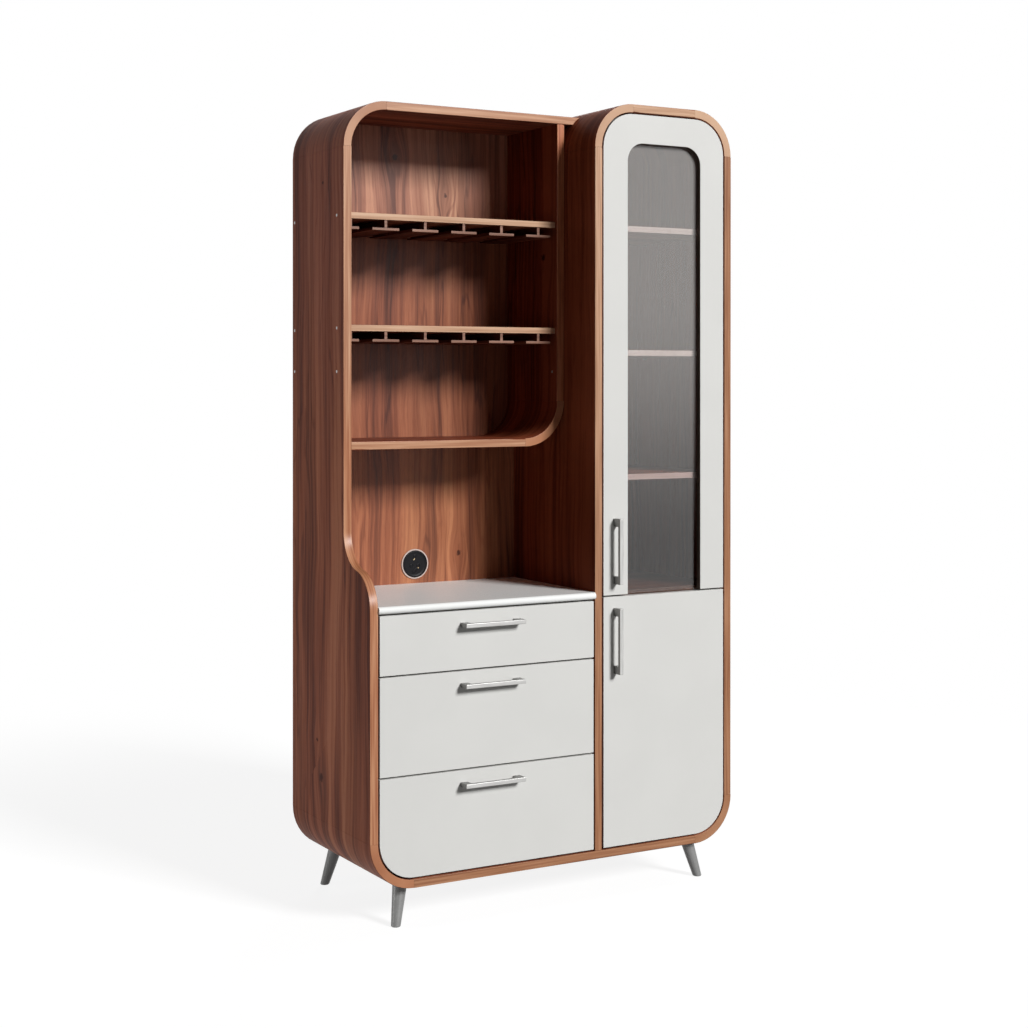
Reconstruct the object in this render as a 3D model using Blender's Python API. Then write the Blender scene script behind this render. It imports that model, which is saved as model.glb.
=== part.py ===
"""Walnut china cabinet: drawers, worktop and stemware hutch on the left, glazed tower on the right.

Metres, +Z up, +X to the viewer's right, the front faces -Y. The origin is on the floor, in the
middle of the whole outline, handles included.
"""

import math

import bmesh
import bpy
from mathutils import Vector

# Whole cabinet
WIDTH = 1.000
DEPTH = 0.440
HEIGHT = 1.912
BOARD = 0.020
CORNER_RADIUS = 0.110
TOWER_WIDTH = 0.404
BACK_INSET = 0.050
BACK_BOARD = 0.009

# Hutch over the worktop
HUTCH_DROP = 0.020
HUTCH_SETBACK = 0.142
HUTCH_FLOOR_TOP = 1.099
LOWER_SHELF_SHARE = 0.3506
UPPER_SHELF_SHARE = 0.6882
SHELF_BOARD = 0.015
SHELF_SETBACK = 0.010

# Stemware rails under the hutch shelves
RAIL_COUNT = 5
RAIL_SLOT = 0.0345
RAIL_LIP = 0.006
RAIL_STEM = 0.007
RAIL_DROP = 0.018
RACK_SETBACK = 0.012
RACK_BATTEN = 0.020
RACK_WALL_LIP = 0.025
RACK_END_CLEAR = 0.012

# Worktop and socket
WORKTOP_TOP = 0.732
WORKTOP_BOARD = 0.017
WORKTOP_PROUD = 0.006
SWEEP_DROP = 0.010
SWEEP_TURN = 79.0
SOCKET_RISE = 0.0485
SOCKET_RADIUS = 0.0375
SOCKET_BEZEL = 0.004
SOCKET_PROUD = 0.003
SOCKET_RECESS = 0.0018
SOCKET_BODY_RADIUS = 0.030
SOCKET_BODY_LENGTH = 0.034

# Drawers
TOP_DRAWER_HEIGHT = 0.141
MIDDLE_DRAWER_HEIGHT = 0.228
FRONT_BOARD = 0.020
FRONT_GAP = 0.004
BOX_WALL = 0.014
BOX_FLOOR = 0.008
BOX_LIFT = 0.012
BOX_HEADROOM = 0.020
BOX_REAR_CLEAR = 0.025
BOX_CORNER_CLEAR = 0.004
RUNNER_GAP = 0.004
RUNNER_HEIGHT = 0.016
RUNNER_RISE = 0.050
RUNNER_PLAY = 0.0005
GROOVE_DEPTH = 0.007
GROOVE_STOP = 0.020
GROOVE_END_CLEAR = 0.001

# Tower doors and shelves
DOOR_SPLIT = 0.720
DOOR_FRAME = 0.070
WINDOW_RADIUS = 0.045
REBATE_WIDTH = 0.008
REBATE_DEPTH = 0.006
GLASS_THICKNESS = 0.005
DIVIDER_SETBACK = 0.003
TOWER_SHELF_COUNT = 3
TOWER_SHELF_FIRST_SHARE = 0.2427
TOWER_SHELF_PITCH_SHARE = 0.2608
TOWER_SHELF_SETBACK = 0.005

# Concealed hinges
HINGE_BACKSET = 0.008
CUP_RADIUS = 0.0175
CUP_EDGE = 0.005
CUP_DEPTH = 0.0115
CUP_WALL = 0.002
CUP_FLANGE = 0.0015
CUP_FLANGE_HALF = 0.031
LINK_OFFSET = 0.005
LINK_LENGTH = 0.009
LINK_HEIGHT = 0.010
ARM_NOSE_GAP = 0.0045
ARM_LENGTH = 0.060
ARM_HEIGHT = 0.014
PLATE_LENGTH = 0.040
PLATE_HEIGHT = 0.050
PLATE_THICKNESS = 0.003
LOWER_HINGE_RISE = 0.050
LOWER_HINGE_DROP = 0.100

# Bar handles
HANDLE_LENGTH = 0.158
HANDLE_WIDTH = 0.010
HANDLE_BAR = 0.009
HANDLE_POST = 0.019
HANDLE_REACH = 0.030
HANDLE_DROP = 0.032
HANDLE_EDGE = 0.033
HANDLE_END = 0.027

# Legs
LEG_HEIGHT = 0.091
LEG_TOP_RADIUS = 0.0170
LEG_FOOT_RADIUS = 0.0110
LEG_FOOT_CHAMFER = 0.0015
LEG_INSET_X = 0.080
LEG_INSET_FRONT = 0.033
LEG_INSET_BACK = 0.0115
LEG_SPLAY = 0.020
LEG_RUN_UP = 0.012

# Fits and facets
SEAT_GAP = 0.0003
CUT_MARGIN = 0.010
JOIN_MARGIN = 0.0005
ARC_STEPS = 12
ROUND_STEPS = 24

# Derived planes
LEFT = -WIDTH / 2
RIGHT = WIDTH / 2
FRONT = (HANDLE_REACH - DEPTH) / 2
BACK = FRONT + DEPTH
BASE = LEG_HEIGHT
BASE_TOP = BASE + BOARD
INNER_RADIUS = CORNER_RADIUS - BOARD
HUTCH_TOP = HEIGHT - HUTCH_DROP
HUTCH_FRONT = FRONT + HUTCH_SETBACK
HUTCH_CEILING = HUTCH_TOP - BOARD
HUTCH_FLOOR_UNDER = HUTCH_FLOOR_TOP - BOARD
HUTCH_CLEAR = HUTCH_CEILING - HUTCH_FLOOR_TOP
LOWER_SHELF_TOP = HUTCH_FLOOR_TOP + HUTCH_CLEAR * LOWER_SHELF_SHARE
UPPER_SHELF_TOP = HUTCH_FLOOR_TOP + HUTCH_CLEAR * UPPER_SHELF_SHARE
BACK_FACE = BACK - BACK_INSET
TOWER_LEFT = RIGHT - TOWER_WIDTH
BAY_LEFT = LEFT + BOARD
BAY_RIGHT = TOWER_LEFT
BAY_MIDDLE = (BAY_LEFT + BAY_RIGHT) / 2
HUTCH_RIGHT = TOWER_LEFT - SEAT_GAP - BOARD
RAIL_PITCH = (HUTCH_RIGHT - BAY_LEFT - RACK_WALL_LIP - RACK_END_CLEAR) / RAIL_COUNT
RAIL_FLANGE = RAIL_PITCH - RAIL_SLOT
RAIL_FIRST = BAY_LEFT + RACK_WALL_LIP + RAIL_SLOT + RAIL_FLANGE / 2
TOWER_IN_LEFT = TOWER_LEFT + BOARD
TOWER_IN_RIGHT = RIGHT - BOARD
WORKTOP_UNDER = WORKTOP_TOP - WORKTOP_BOARD
FRONT_BACK = FRONT + FRONT_BOARD
DOOR_LEFT = TOWER_IN_LEFT + FRONT_GAP
DOOR_RIGHT = TOWER_IN_RIGHT - FRONT_GAP
DOOR_RADIUS = INNER_RADIUS - FRONT_GAP
UPPER_DOOR_LOW = DOOR_SPLIT + FRONT_GAP / 2
UPPER_DOOR_HIGH = HEIGHT - BOARD - FRONT_GAP
LOWER_DOOR_LOW = BASE_TOP + FRONT_GAP
LOWER_DOOR_HIGH = DOOR_SPLIT - FRONT_GAP / 2
HINGE_X = DOOR_RIGHT - HINGE_BACKSET
HINGE_Y = FRONT

# Linear base colour, roughness, metallic and transmission of each finish
FINISHES = {
    "walnut": ((0.165, 0.062, 0.032), 0.45, 0.0, 0.0),
    "walnut_edge": ((0.360, 0.150, 0.065), 0.40, 0.0, 0.0),
    "white_lacquer": ((0.720, 0.720, 0.700), 0.30, 0.0, 0.0),
    "drawer_wood": ((0.420, 0.290, 0.180), 0.60, 0.0, 0.0),
    "brushed_metal": ((0.280, 0.280, 0.275), 0.35, 1.0, 0.0),
    "steel": ((0.500, 0.500, 0.500), 0.30, 1.0, 0.0),
    "smoked_glass": ((0.300, 0.290, 0.280), 0.05, 0.0, 1.0),
    "black_plastic": ((0.010, 0.010, 0.011), 0.40, 0.0, 0.0),
}


def clear_scene():
    for obj in list(bpy.data.objects):
        bpy.data.objects.remove(obj, do_unlink=True)


def make_material(name, finish):
    """A Principled material of the object's own."""
    colour, roughness, metallic, transmission = FINISHES[finish]
    material = bpy.data.materials.new(f"{name}_{finish}")
    material.use_nodes = True
    shader = material.node_tree.nodes["Principled BSDF"]
    shader.inputs["Base Color"].default_value = (*colour, 1.0)
    shader.inputs["Roughness"].default_value = roughness
    shader.inputs["Metallic"].default_value = metallic
    shader.inputs["Transmission Weight"].default_value = transmission
    return material


def add_mesh(name, bm, finish=None, carrier=None):
    """An object from a bmesh in world coordinates. Without a finish it is a hidden helper."""
    bmesh.ops.recalc_face_normals(bm, faces=bm.faces)
    origin = Vector(carrier.location) if carrier else Vector()
    bmesh.ops.translate(bm, verts=bm.verts, vec=-origin)
    mesh = bpy.data.meshes.new(name)
    bm.to_mesh(mesh)
    bm.free()
    obj = bpy.data.objects.new(name, mesh)
    bpy.context.scene.collection.objects.link(obj)
    obj.parent = carrier
    if finish:
        mesh.materials.append(make_material(name, finish))
    else:
        obj.hide_render = True
        obj.display_type = "WIRE"
    return obj


def add_carrier(name, location):
    """An empty on a joint's axis, which carries the moving pieces."""
    carrier = bpy.data.objects.new(name, None)
    carrier.location = location
    bpy.context.scene.collection.objects.link(carrier)
    return carrier


def to_space(axis, flat, along):
    """A point of an outline drawn square to the axis: (y, z) for X, (x, z) for Y, (x, y) for Z."""
    first, second = flat
    if axis == "X":
        return (along, first, second)
    if axis == "Y":
        return (first, along, second)
    return (first, second, along)


def add_prism(bm, axis, outline, low, high):
    """Extrudes a closed outline from low to high along the axis."""
    corners = [bm.verts.new(to_space(axis, point, low)) for point in outline]
    face = bm.faces.new(corners)
    raised = bmesh.ops.extrude_face_region(bm, geom=[face])["geom"]
    moved = [part for part in raised if isinstance(part, bmesh.types.BMVert)]
    bmesh.ops.translate(bm, verts=moved, vec=Vector(to_space(axis, (0, 0), high - low)))


def add_box(bm, low, high):
    outline = [(low[0], low[1]), (high[0], low[1]), (high[0], high[1]), (low[0], high[1])]
    add_prism(bm, "Z", outline, low[2], high[2])


def prism(name, axis, outline, low, high, finish=None, carrier=None):
    bm = bmesh.new()
    add_prism(bm, axis, outline, low, high)
    return add_mesh(name, bm, finish, carrier)


def box(name, low, high, finish=None, carrier=None):
    bm = bmesh.new()
    add_box(bm, low, high)
    return add_mesh(name, bm, finish, carrier)


def boxes(name, spans):
    """A hidden helper made of boxes that don't touch each other."""
    bm = bmesh.new()
    for low, high in spans:
        add_box(bm, low, high)
    return add_mesh(name, bm)


def add_turned(bm, profile, centre):
    """Turns (radius, y) points, which start and end on the axis, about a line along Y."""
    rings = []
    for radius, y in profile:
        steps = ROUND_STEPS if radius > 0 else 1
        ring = []
        for step in range(steps):
            angle = 2 * math.pi * step / ROUND_STEPS
            x = centre[0] + radius * math.cos(angle)
            z = centre[1] + radius * math.sin(angle)
            ring.append(bm.verts.new((x, y, z)))
        rings.append(ring)
    for near, far in zip(rings, rings[1:]):
        for step in range(ROUND_STEPS):
            after = (step + 1) % ROUND_STEPS
            if len(near) == 1:
                bm.faces.new((near[0], far[step], far[after]))
            elif len(far) == 1:
                bm.faces.new((near[step], far[0], near[after]))
            else:
                bm.faces.new((near[step], far[step], far[after], near[after]))


def apply_boolean(target, other, operation):
    modifier = target.modifiers.new(f"{operation.lower()} {other.name}", "BOOLEAN")
    modifier.operation = operation
    modifier.solver = "EXACT"
    modifier.object = other


def smooth_rounds(obj):
    obj.data.shade_smooth()
    obj.data.set_sharp_from_angle(angle=math.radians(30))


def arc(centre, radius, start, end):
    """Points of an arc in degrees, both ends included."""
    points = []
    for step in range(ARC_STEPS + 1):
        angle = math.radians(start + (end - start) * step / ARC_STEPS)
        points.append((centre[0] + radius * math.cos(angle), centre[1] + radius * math.sin(angle)))
    return points


def rounded(low, high, bottom_left=0.0, bottom_right=0.0, top_right=0.0, top_left=0.0):
    """A rectangle whose named corners are rounded."""
    corners = (
        (low[0], low[1], bottom_left, 180, 1, 1),
        (high[0], low[1], bottom_right, 270, -1, 1),
        (high[0], high[1], top_right, 0, -1, -1),
        (low[0], high[1], top_left, 90, 1, -1),
    )
    outline = []
    for x, z, radius, start, inward_x, inward_z in corners:
        if radius > 0:
            centre = (x + inward_x * radius, z + inward_z * radius)
            outline += arc(centre, radius, start, start + 90)
        else:
            outline.append((x, z))
    return outline


def bent_corner(name, centre, start, front):
    """A quarter-round bent board between two flat boards."""
    outline = arc(centre, CORNER_RADIUS, start, start + 90)
    outline += reversed(arc(centre, INNER_RADIUS, start, start + 90))
    smooth_rounds(prism(name, "Y", outline, front, BACK, "walnut"))


# Carcass


def make_left_side():
    """The side board whose front edge sweeps back from the drawers to the hutch."""
    low = BASE + CORNER_RADIUS + SEAT_GAP
    high = HUTCH_TOP - CORNER_RADIUS - SEAT_GAP
    turn = math.radians(SWEEP_TURN)
    sweep = HUTCH_SETBACK / (2 * (1 - math.cos(turn)))
    start = WORKTOP_TOP - SWEEP_DROP
    end = start + 2 * sweep * math.sin(turn)
    outline = [(FRONT, low)]
    outline += arc((FRONT + sweep, start), sweep, 180, 180 - SWEEP_TURN)
    outline += arc((HUTCH_FRONT - sweep, end), sweep, 360 - SWEEP_TURN, 360)[1:]
    outline += [(HUTCH_FRONT, high), (BACK, high), (BACK, low)]
    side = prism("left_side_panel", "X", outline, LEFT, BAY_LEFT, "walnut")
    smooth_rounds(side)


def make_shell():
    """The flat boards and bent corners round the base and the tower."""
    near = CORNER_RADIUS
    straight = CORNER_RADIUS + SEAT_GAP
    bent_corner("bottom_left_corner", (LEFT + near, BASE + near), 180, FRONT)
    bent_corner("bottom_right_corner", (RIGHT - near, BASE + near), 270, FRONT)
    bent_corner("tower_top_right_corner", (RIGHT - near, HEIGHT - near), 0, FRONT)
    bent_corner("tower_top_left_corner", (TOWER_LEFT + near, HEIGHT - near), 90, FRONT)
    box("bottom_panel", (LEFT + straight, FRONT, BASE), (RIGHT - straight, BACK, BASE_TOP), "walnut")
    box(
        "right_side_panel",
        (TOWER_IN_RIGHT, FRONT, BASE + straight),
        (RIGHT, BACK, HEIGHT - straight),
        "walnut",
    )
    box(
        "tower_top_panel",
        (TOWER_LEFT + straight, FRONT, HEIGHT - BOARD),
        (RIGHT - straight, BACK, HEIGHT),
        "walnut",
    )
    box(
        "tower_partition",
        (TOWER_LEFT, FRONT, BASE_TOP + SEAT_GAP),
        (TOWER_IN_LEFT, BACK, HEIGHT - straight),
        "walnut",
    )


def tower_face(z):
    """Where a board that butts against the tower's left side ends, at height z."""
    centre_x = TOWER_LEFT + CORNER_RADIUS
    rise = max(0.0, z - (HEIGHT - CORNER_RADIUS))
    return centre_x - math.sqrt((CORNER_RADIUS + SEAT_GAP) ** 2 - rise**2)


def make_hutch():
    bent_corner(
        "hutch_top_left_corner",
        (LEFT + CORNER_RADIUS, HUTCH_TOP - CORNER_RADIUS),
        90,
        HUTCH_FRONT,
    )
    under = HUTCH_CEILING
    start = LEFT + CORNER_RADIUS + SEAT_GAP
    end = [under + BOARD * step / ARC_STEPS for step in range(ARC_STEPS + 1)]
    outline = [(start, HUTCH_TOP), (start, under)] + [(tower_face(z), z) for z in end]
    prism("hutch_top_panel", "Y", outline, HUTCH_FRONT, BACK, "walnut")

    rear = BACK_FACE - SEAT_GAP
    box(
        "hutch_right_panel",
        (HUTCH_RIGHT, HUTCH_FRONT, HUTCH_FLOOR_UNDER + CORNER_RADIUS + SEAT_GAP),
        (HUTCH_RIGHT + BOARD, rear, under - SEAT_GAP),
        "walnut",
    )
    centre = (HUTCH_RIGHT + BOARD - CORNER_RADIUS, HUTCH_FLOOR_UNDER + CORNER_RADIUS)
    outline = arc(centre, CORNER_RADIUS, 270, 360)
    outline += reversed(arc(centre, INNER_RADIUS, 270, 360))
    smooth_rounds(prism("hutch_lower_corner", "Y", outline, HUTCH_FRONT, rear, "walnut"))
    box(
        "hutch_floor",
        (BAY_LEFT + SEAT_GAP, HUTCH_FRONT, HUTCH_FLOOR_UNDER),
        (centre[0] - SEAT_GAP, rear, HUTCH_FLOOR_TOP),
        "walnut",
    )


def make_backs():
    """The inset back boards, with the cable space behind them."""
    fit = INNER_RADIUS - SEAT_GAP
    rear = BACK_FACE + BACK_BOARD
    low = (BAY_LEFT + SEAT_GAP, BASE_TOP + SEAT_GAP)
    high = (BAY_RIGHT - SEAT_GAP, HUTCH_CEILING - SEAT_GAP)
    outline = rounded(low, high, bottom_left=fit, top_left=fit)
    left_back = prism("back_panel_left", "Y", outline, BACK_FACE, rear, "walnut")
    low = (TOWER_IN_LEFT + SEAT_GAP, BASE_TOP + SEAT_GAP)
    high = (TOWER_IN_RIGHT - SEAT_GAP, HEIGHT - BOARD - SEAT_GAP)
    outline = rounded(low, high, bottom_right=fit, top_right=fit, top_left=fit)
    prism("back_panel_tower", "Y", outline, BACK_FACE, rear, "walnut")
    return left_back


def make_socket(left_back):
    """The round power socket, whose body passes through the back board."""
    centre = (BAY_MIDDLE, WORKTOP_TOP + SOCKET_RISE)
    face = BACK_FACE - SEAT_GAP
    floor = face - SOCKET_PROUD + SOCKET_RECESS
    profile = (
        (0, floor),
        (SOCKET_RADIUS - SOCKET_BEZEL, floor),
        (SOCKET_RADIUS - SOCKET_BEZEL, face - SOCKET_PROUD),
        (SOCKET_RADIUS, face - SOCKET_PROUD),
        (SOCKET_RADIUS, face),
        (SOCKET_BODY_RADIUS, face),
        (SOCKET_BODY_RADIUS, face + SOCKET_BODY_LENGTH),
        (0, face + SOCKET_BODY_LENGTH),
    )
    bm = bmesh.new()
    add_turned(bm, profile, centre)
    smooth_rounds(add_mesh("power_socket", bm, "black_plastic"))
    bore = SOCKET_BODY_RADIUS + SEAT_GAP
    bm = bmesh.new()
    ends = (BACK_FACE - CUT_MARGIN, BACK_FACE + BACK_BOARD + CUT_MARGIN)
    add_turned(bm, ((0, ends[0]), (bore, ends[0]), (bore, ends[1]), (0, ends[1])), centre)
    apply_boolean(left_back, add_mesh("socket_hole_cutter", bm), "DIFFERENCE")


def make_worktop():
    """White slab with a half-round front edge."""
    nose = WORKTOP_BOARD / 2
    nose_y = FRONT - WORKTOP_PROUD + nose
    rear = BACK_FACE - SEAT_GAP
    outline = arc((nose_y, WORKTOP_UNDER + nose), nose, 90, 270)
    outline += [(rear, WORKTOP_UNDER), (rear, WORKTOP_TOP)]
    slab = prism("worktop", "X", outline, BAY_LEFT + SEAT_GAP, BAY_RIGHT - SEAT_GAP, "white_lacquer")
    smooth_rounds(slab)


# Shelves and stemware racks


def make_stemware_rack(name, shelf_under):
    """Rails that hold glasses by their feet, joined by a batten at the back."""
    high = shelf_under - SEAT_GAP
    lip_top = high - RAIL_DROP
    lip_low = lip_top - RAIL_LIP
    front = HUTCH_FRONT + RACK_SETBACK
    rear = BACK_FACE - SEAT_GAP
    batten = rear - RACK_BATTEN
    wall = BAY_LEFT + SEAT_GAP
    rails = [RAIL_FIRST + RAIL_PITCH * index for index in range(RAIL_COUNT)]
    end = rails[-1] + RAIL_FLANGE / 2

    tip = front + JOIN_MARGIN
    comb = [(wall, tip), (wall + RAIL_STEM, tip), (wall + RAIL_STEM, batten)]
    for x in rails:
        near, far = x - RAIL_STEM / 2, x + RAIL_STEM / 2
        comb += [(near, batten), (near, tip), (far, tip), (far, batten)]
    comb += [(end - JOIN_MARGIN, batten), (end - JOIN_MARGIN, rear), (wall, rear)]
    rack = prism(name, "Z", comb, lip_low + RAIL_LIP / 2, high, "walnut")

    spans = [(wall + JOIN_MARGIN, BAY_LEFT + RACK_WALL_LIP)]
    spans += [(x - RAIL_FLANGE / 2, x + RAIL_FLANGE / 2) for x in rails]
    lips = [((x0, front, lip_low), (x1, rear - JOIN_MARGIN, lip_top)) for x0, x1 in spans]
    apply_boolean(rack, boxes(f"{name}_lips", lips), "UNION")


def make_hutch_shelves():
    rear = BACK_FACE - SEAT_GAP
    for level, top in (("lower", LOWER_SHELF_TOP), ("upper", UPPER_SHELF_TOP)):
        box(
            f"hutch_shelf_{level}",
            (BAY_LEFT + SEAT_GAP, HUTCH_FRONT + SHELF_SETBACK, top - SHELF_BOARD),
            (HUTCH_RIGHT - SEAT_GAP, rear, top),
            "walnut",
        )
        make_stemware_rack(f"stemware_rack_{level}", top - SHELF_BOARD)


def tower_shelf_tops():
    floor = DOOR_SPLIT + BOARD / 2
    clear = HEIGHT - BOARD - floor
    shares = [
        TOWER_SHELF_FIRST_SHARE + TOWER_SHELF_PITCH_SHARE * index
        for index in range(TOWER_SHELF_COUNT)
    ]
    return [floor + clear * share for share in shares]


def make_tower_shelves():
    left = TOWER_IN_LEFT + SEAT_GAP
    right = TOWER_IN_RIGHT - SEAT_GAP
    rear = BACK_FACE - SEAT_GAP
    box(
        "tower_divider",
        (left, FRONT_BACK + DIVIDER_SETBACK, DOOR_SPLIT - BOARD / 2),
        (right, rear, DOOR_SPLIT + BOARD / 2),
        "walnut",
    )
    for index, top in enumerate(tower_shelf_tops()):
        box(
            f"tower_shelf_{index + 1}",
            (left, FRONT_BACK + TOWER_SHELF_SETBACK, top - SHELF_BOARD),
            (right, rear, top),
            "walnut",
        )


# Handles


def make_handle(name, centre, along, carrier):
    """A bar on two posts, cut from one U-shaped outline. It lies along X or stands along Z."""
    half = HANDLE_LENGTH / 2
    foot = FRONT - SEAT_GAP
    tip = FRONT - HANDLE_REACH
    bar = tip + HANDLE_BAR
    post = half - HANDLE_POST
    middle = centre[0] if along == "X" else centre[1]
    shape = ((-half, foot), (-half, tip), (half, tip), (half, foot))
    shape += ((post, foot), (post, bar), (-post, bar), (-post, foot))
    width = HANDLE_WIDTH / 2
    if along == "X":
        outline = [(middle + run, y) for run, y in shape]
        prism(name, "Z", outline, centre[1] - width, centre[1] + width, "brushed_metal", carrier)
    else:
        outline = [(y, middle + run) for run, y in shape]
        prism(name, "X", outline, centre[0] - width, centre[0] + width, "brushed_metal", carrier)


# Drawers


def make_drawer(name, low, high, lift, corner=0.0):
    """A white front, a box with a groove in each side, its handle, and the runners in the bay."""
    left, right = BAY_LEFT + FRONT_GAP, BAY_RIGHT - FRONT_GAP
    carrier = add_carrier(f"{name}_slide", (BAY_MIDDLE, FRONT, (low + high) / 2))
    outline = rounded((left, low), (right, high), bottom_left=corner)
    front = prism(f"{name}_front", "Y", outline, FRONT, FRONT_BACK, "white_lacquer", carrier)
    smooth_rounds(front)

    box_left, box_right = BAY_LEFT + RUNNER_GAP, BAY_RIGHT - RUNNER_GAP
    box_front, box_rear = FRONT_BACK + SEAT_GAP, BACK_FACE - BOX_REAR_CLEAR
    box_low, box_high = low + lift, high - BOX_HEADROOM
    tray = box(
        f"{name}_box",
        (box_left, box_front, box_low),
        (box_right, box_rear, box_high),
        "drawer_wood",
        carrier,
    )
    middle = box_low + RUNNER_RISE
    half = RUNNER_HEIGHT / 2
    groove_low, groove_high = middle - half - RUNNER_PLAY, middle + half + RUNNER_PLAY
    groove_start, groove_end = box_front + GROOVE_STOP, box_rear + CUT_MARGIN
    hollow = (
        (box_left + BOX_WALL, box_front + BOX_WALL, box_low + BOX_FLOOR),
        (box_right - BOX_WALL, box_rear - BOX_WALL, box_high + CUT_MARGIN),
    )
    left_groove = (
        (box_left - CUT_MARGIN, groove_start, groove_low),
        (box_left + GROOVE_DEPTH, groove_end, groove_high),
    )
    right_groove = (
        (box_right - GROOVE_DEPTH, groove_start, groove_low),
        (box_right + CUT_MARGIN, groove_end, groove_high),
    )
    apply_boolean(tray, boxes(f"{name}_cutters", (hollow, left_groove, right_groove)), "DIFFERENCE")

    reach = RUNNER_GAP + GROOVE_DEPTH - RUNNER_PLAY
    start, end = groove_start + GROOVE_END_CLEAR, BACK_FACE - SEAT_GAP
    box(
        f"{name}_runner_left",
        (BAY_LEFT + SEAT_GAP, start, middle - half),
        (BAY_LEFT + reach, end, middle + half),
        "steel",
    )
    box(
        f"{name}_runner_right",
        (BAY_RIGHT - reach, start, middle - half),
        (BAY_RIGHT - SEAT_GAP, end, middle + half),
        "steel",
    )
    make_handle(f"{name}_handle", (BAY_MIDDLE, high - HANDLE_DROP), "X", carrier)


def make_drawers():
    """Three drawers between the bottom board and the worktop."""
    first_gap = WORKTOP_UNDER - TOP_DRAWER_HEIGHT
    second_gap = first_gap - MIDDLE_DRAWER_HEIGHT
    half = FRONT_GAP / 2
    make_drawer("drawer_top", first_gap + half, WORKTOP_UNDER - FRONT_GAP, BOX_LIFT)
    make_drawer("drawer_middle", second_gap + half, first_gap - half, BOX_LIFT)
    inset = INNER_RADIUS - RUNNER_GAP
    rise = INNER_RADIUS - math.sqrt(INNER_RADIUS**2 - inset**2)
    lift = rise + BOX_CORNER_CLEAR - FRONT_GAP
    make_drawer("drawer_bottom", BASE_TOP + FRONT_GAP, second_gap - half, lift, DOOR_RADIUS)


# Doors and hinges


def hinge_cup_centre(z):
    return (DOOR_RIGHT - CUP_EDGE - CUP_RADIUS, z)


def bore_for_cups(door, heights):
    """Blind bores for the hinge cups in the back of a door."""
    bore = CUP_RADIUS + SEAT_GAP
    ends = (FRONT_BACK - CUP_DEPTH - SEAT_GAP, FRONT_BACK + CUT_MARGIN)
    bm = bmesh.new()
    for z in heights:
        profile = ((0, ends[0]), (bore, ends[0]), (bore, ends[1]), (0, ends[1]))
        add_turned(bm, profile, hinge_cup_centre(z))
    apply_boolean(door, add_mesh(f"{door.name}_bores", bm), "DIFFERENCE")


def make_hinge(name, z, carrier):
    """A cup with its link, pressed into the door, and an arm screwed to the tower's side."""
    centre = hinge_cup_centre(z)
    seat = FRONT_BACK + SEAT_GAP
    rim = seat + CUP_FLANGE
    floor = FRONT_BACK - CUP_DEPTH
    hollow = CUP_RADIUS - CUP_WALL
    profile = (
        (0, floor),
        (CUP_RADIUS, floor),
        (CUP_RADIUS, rim),
        (hollow, rim),
        (hollow, floor + CUP_WALL),
        (0, floor + CUP_WALL),
    )
    bm = bmesh.new()
    add_turned(bm, profile, centre)
    cup = add_mesh(f"{name}_cup", bm, "steel", carrier)
    smooth_rounds(cup)
    wing = CUP_RADIUS - CUP_WALL / 2
    wing_left, wing_right = centre[0] - wing, centre[0] + wing
    link_right = HINGE_X - LINK_OFFSET
    link_left = link_right - LINK_LENGTH
    added = (
        ((wing_left, seat, z - CUP_FLANGE_HALF), (wing_right, rim, z - wing)),
        ((wing_left, seat, z + wing), (wing_right, rim, z + CUP_FLANGE_HALF)),
        (
            (link_left, floor + CUP_WALL / 2, z - LINK_HEIGHT / 2),
            (link_right, rim, z + LINK_HEIGHT / 2),
        ),
    )
    apply_boolean(cup, boxes(f"{name}_cup_additions", added), "UNION")

    wall = TOWER_IN_RIGHT - SEAT_GAP
    nose = FRONT_BACK + ARM_NOSE_GAP
    tail = nose + ARM_LENGTH
    arm = box(
        f"{name}_arm",
        (link_left, nose, z - ARM_HEIGHT / 2),
        (wall - PLATE_THICKNESS / 2, tail, z + ARM_HEIGHT / 2),
        "steel",
    )
    plate_end = tail + JOIN_MARGIN
    added = (
        (
            (wall - PLATE_THICKNESS, plate_end - PLATE_LENGTH, z - PLATE_HEIGHT / 2),
            (wall, plate_end, z + PLATE_HEIGHT / 2),
        ),
        (
            (link_left + JOIN_MARGIN, rim + SEAT_GAP, z - LINK_HEIGHT / 2),
            (link_right - JOIN_MARGIN, nose + JOIN_MARGIN, z + LINK_HEIGHT / 2),
        ),
    )
    apply_boolean(arm, boxes(f"{name}_arm_additions", added), "UNION")


def window_outline(grow, low):
    """The glazed opening, round at the top and open at the bottom, grown by a margin."""
    left = DOOR_LEFT + DOOR_FRAME - grow
    right = DOOR_RIGHT - DOOR_FRAME + grow
    high = UPPER_DOOR_HIGH - DOOR_FRAME + grow
    radius = WINDOW_RADIUS + grow
    return rounded((left, low), (right, high), top_right=radius, top_left=radius)


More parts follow.
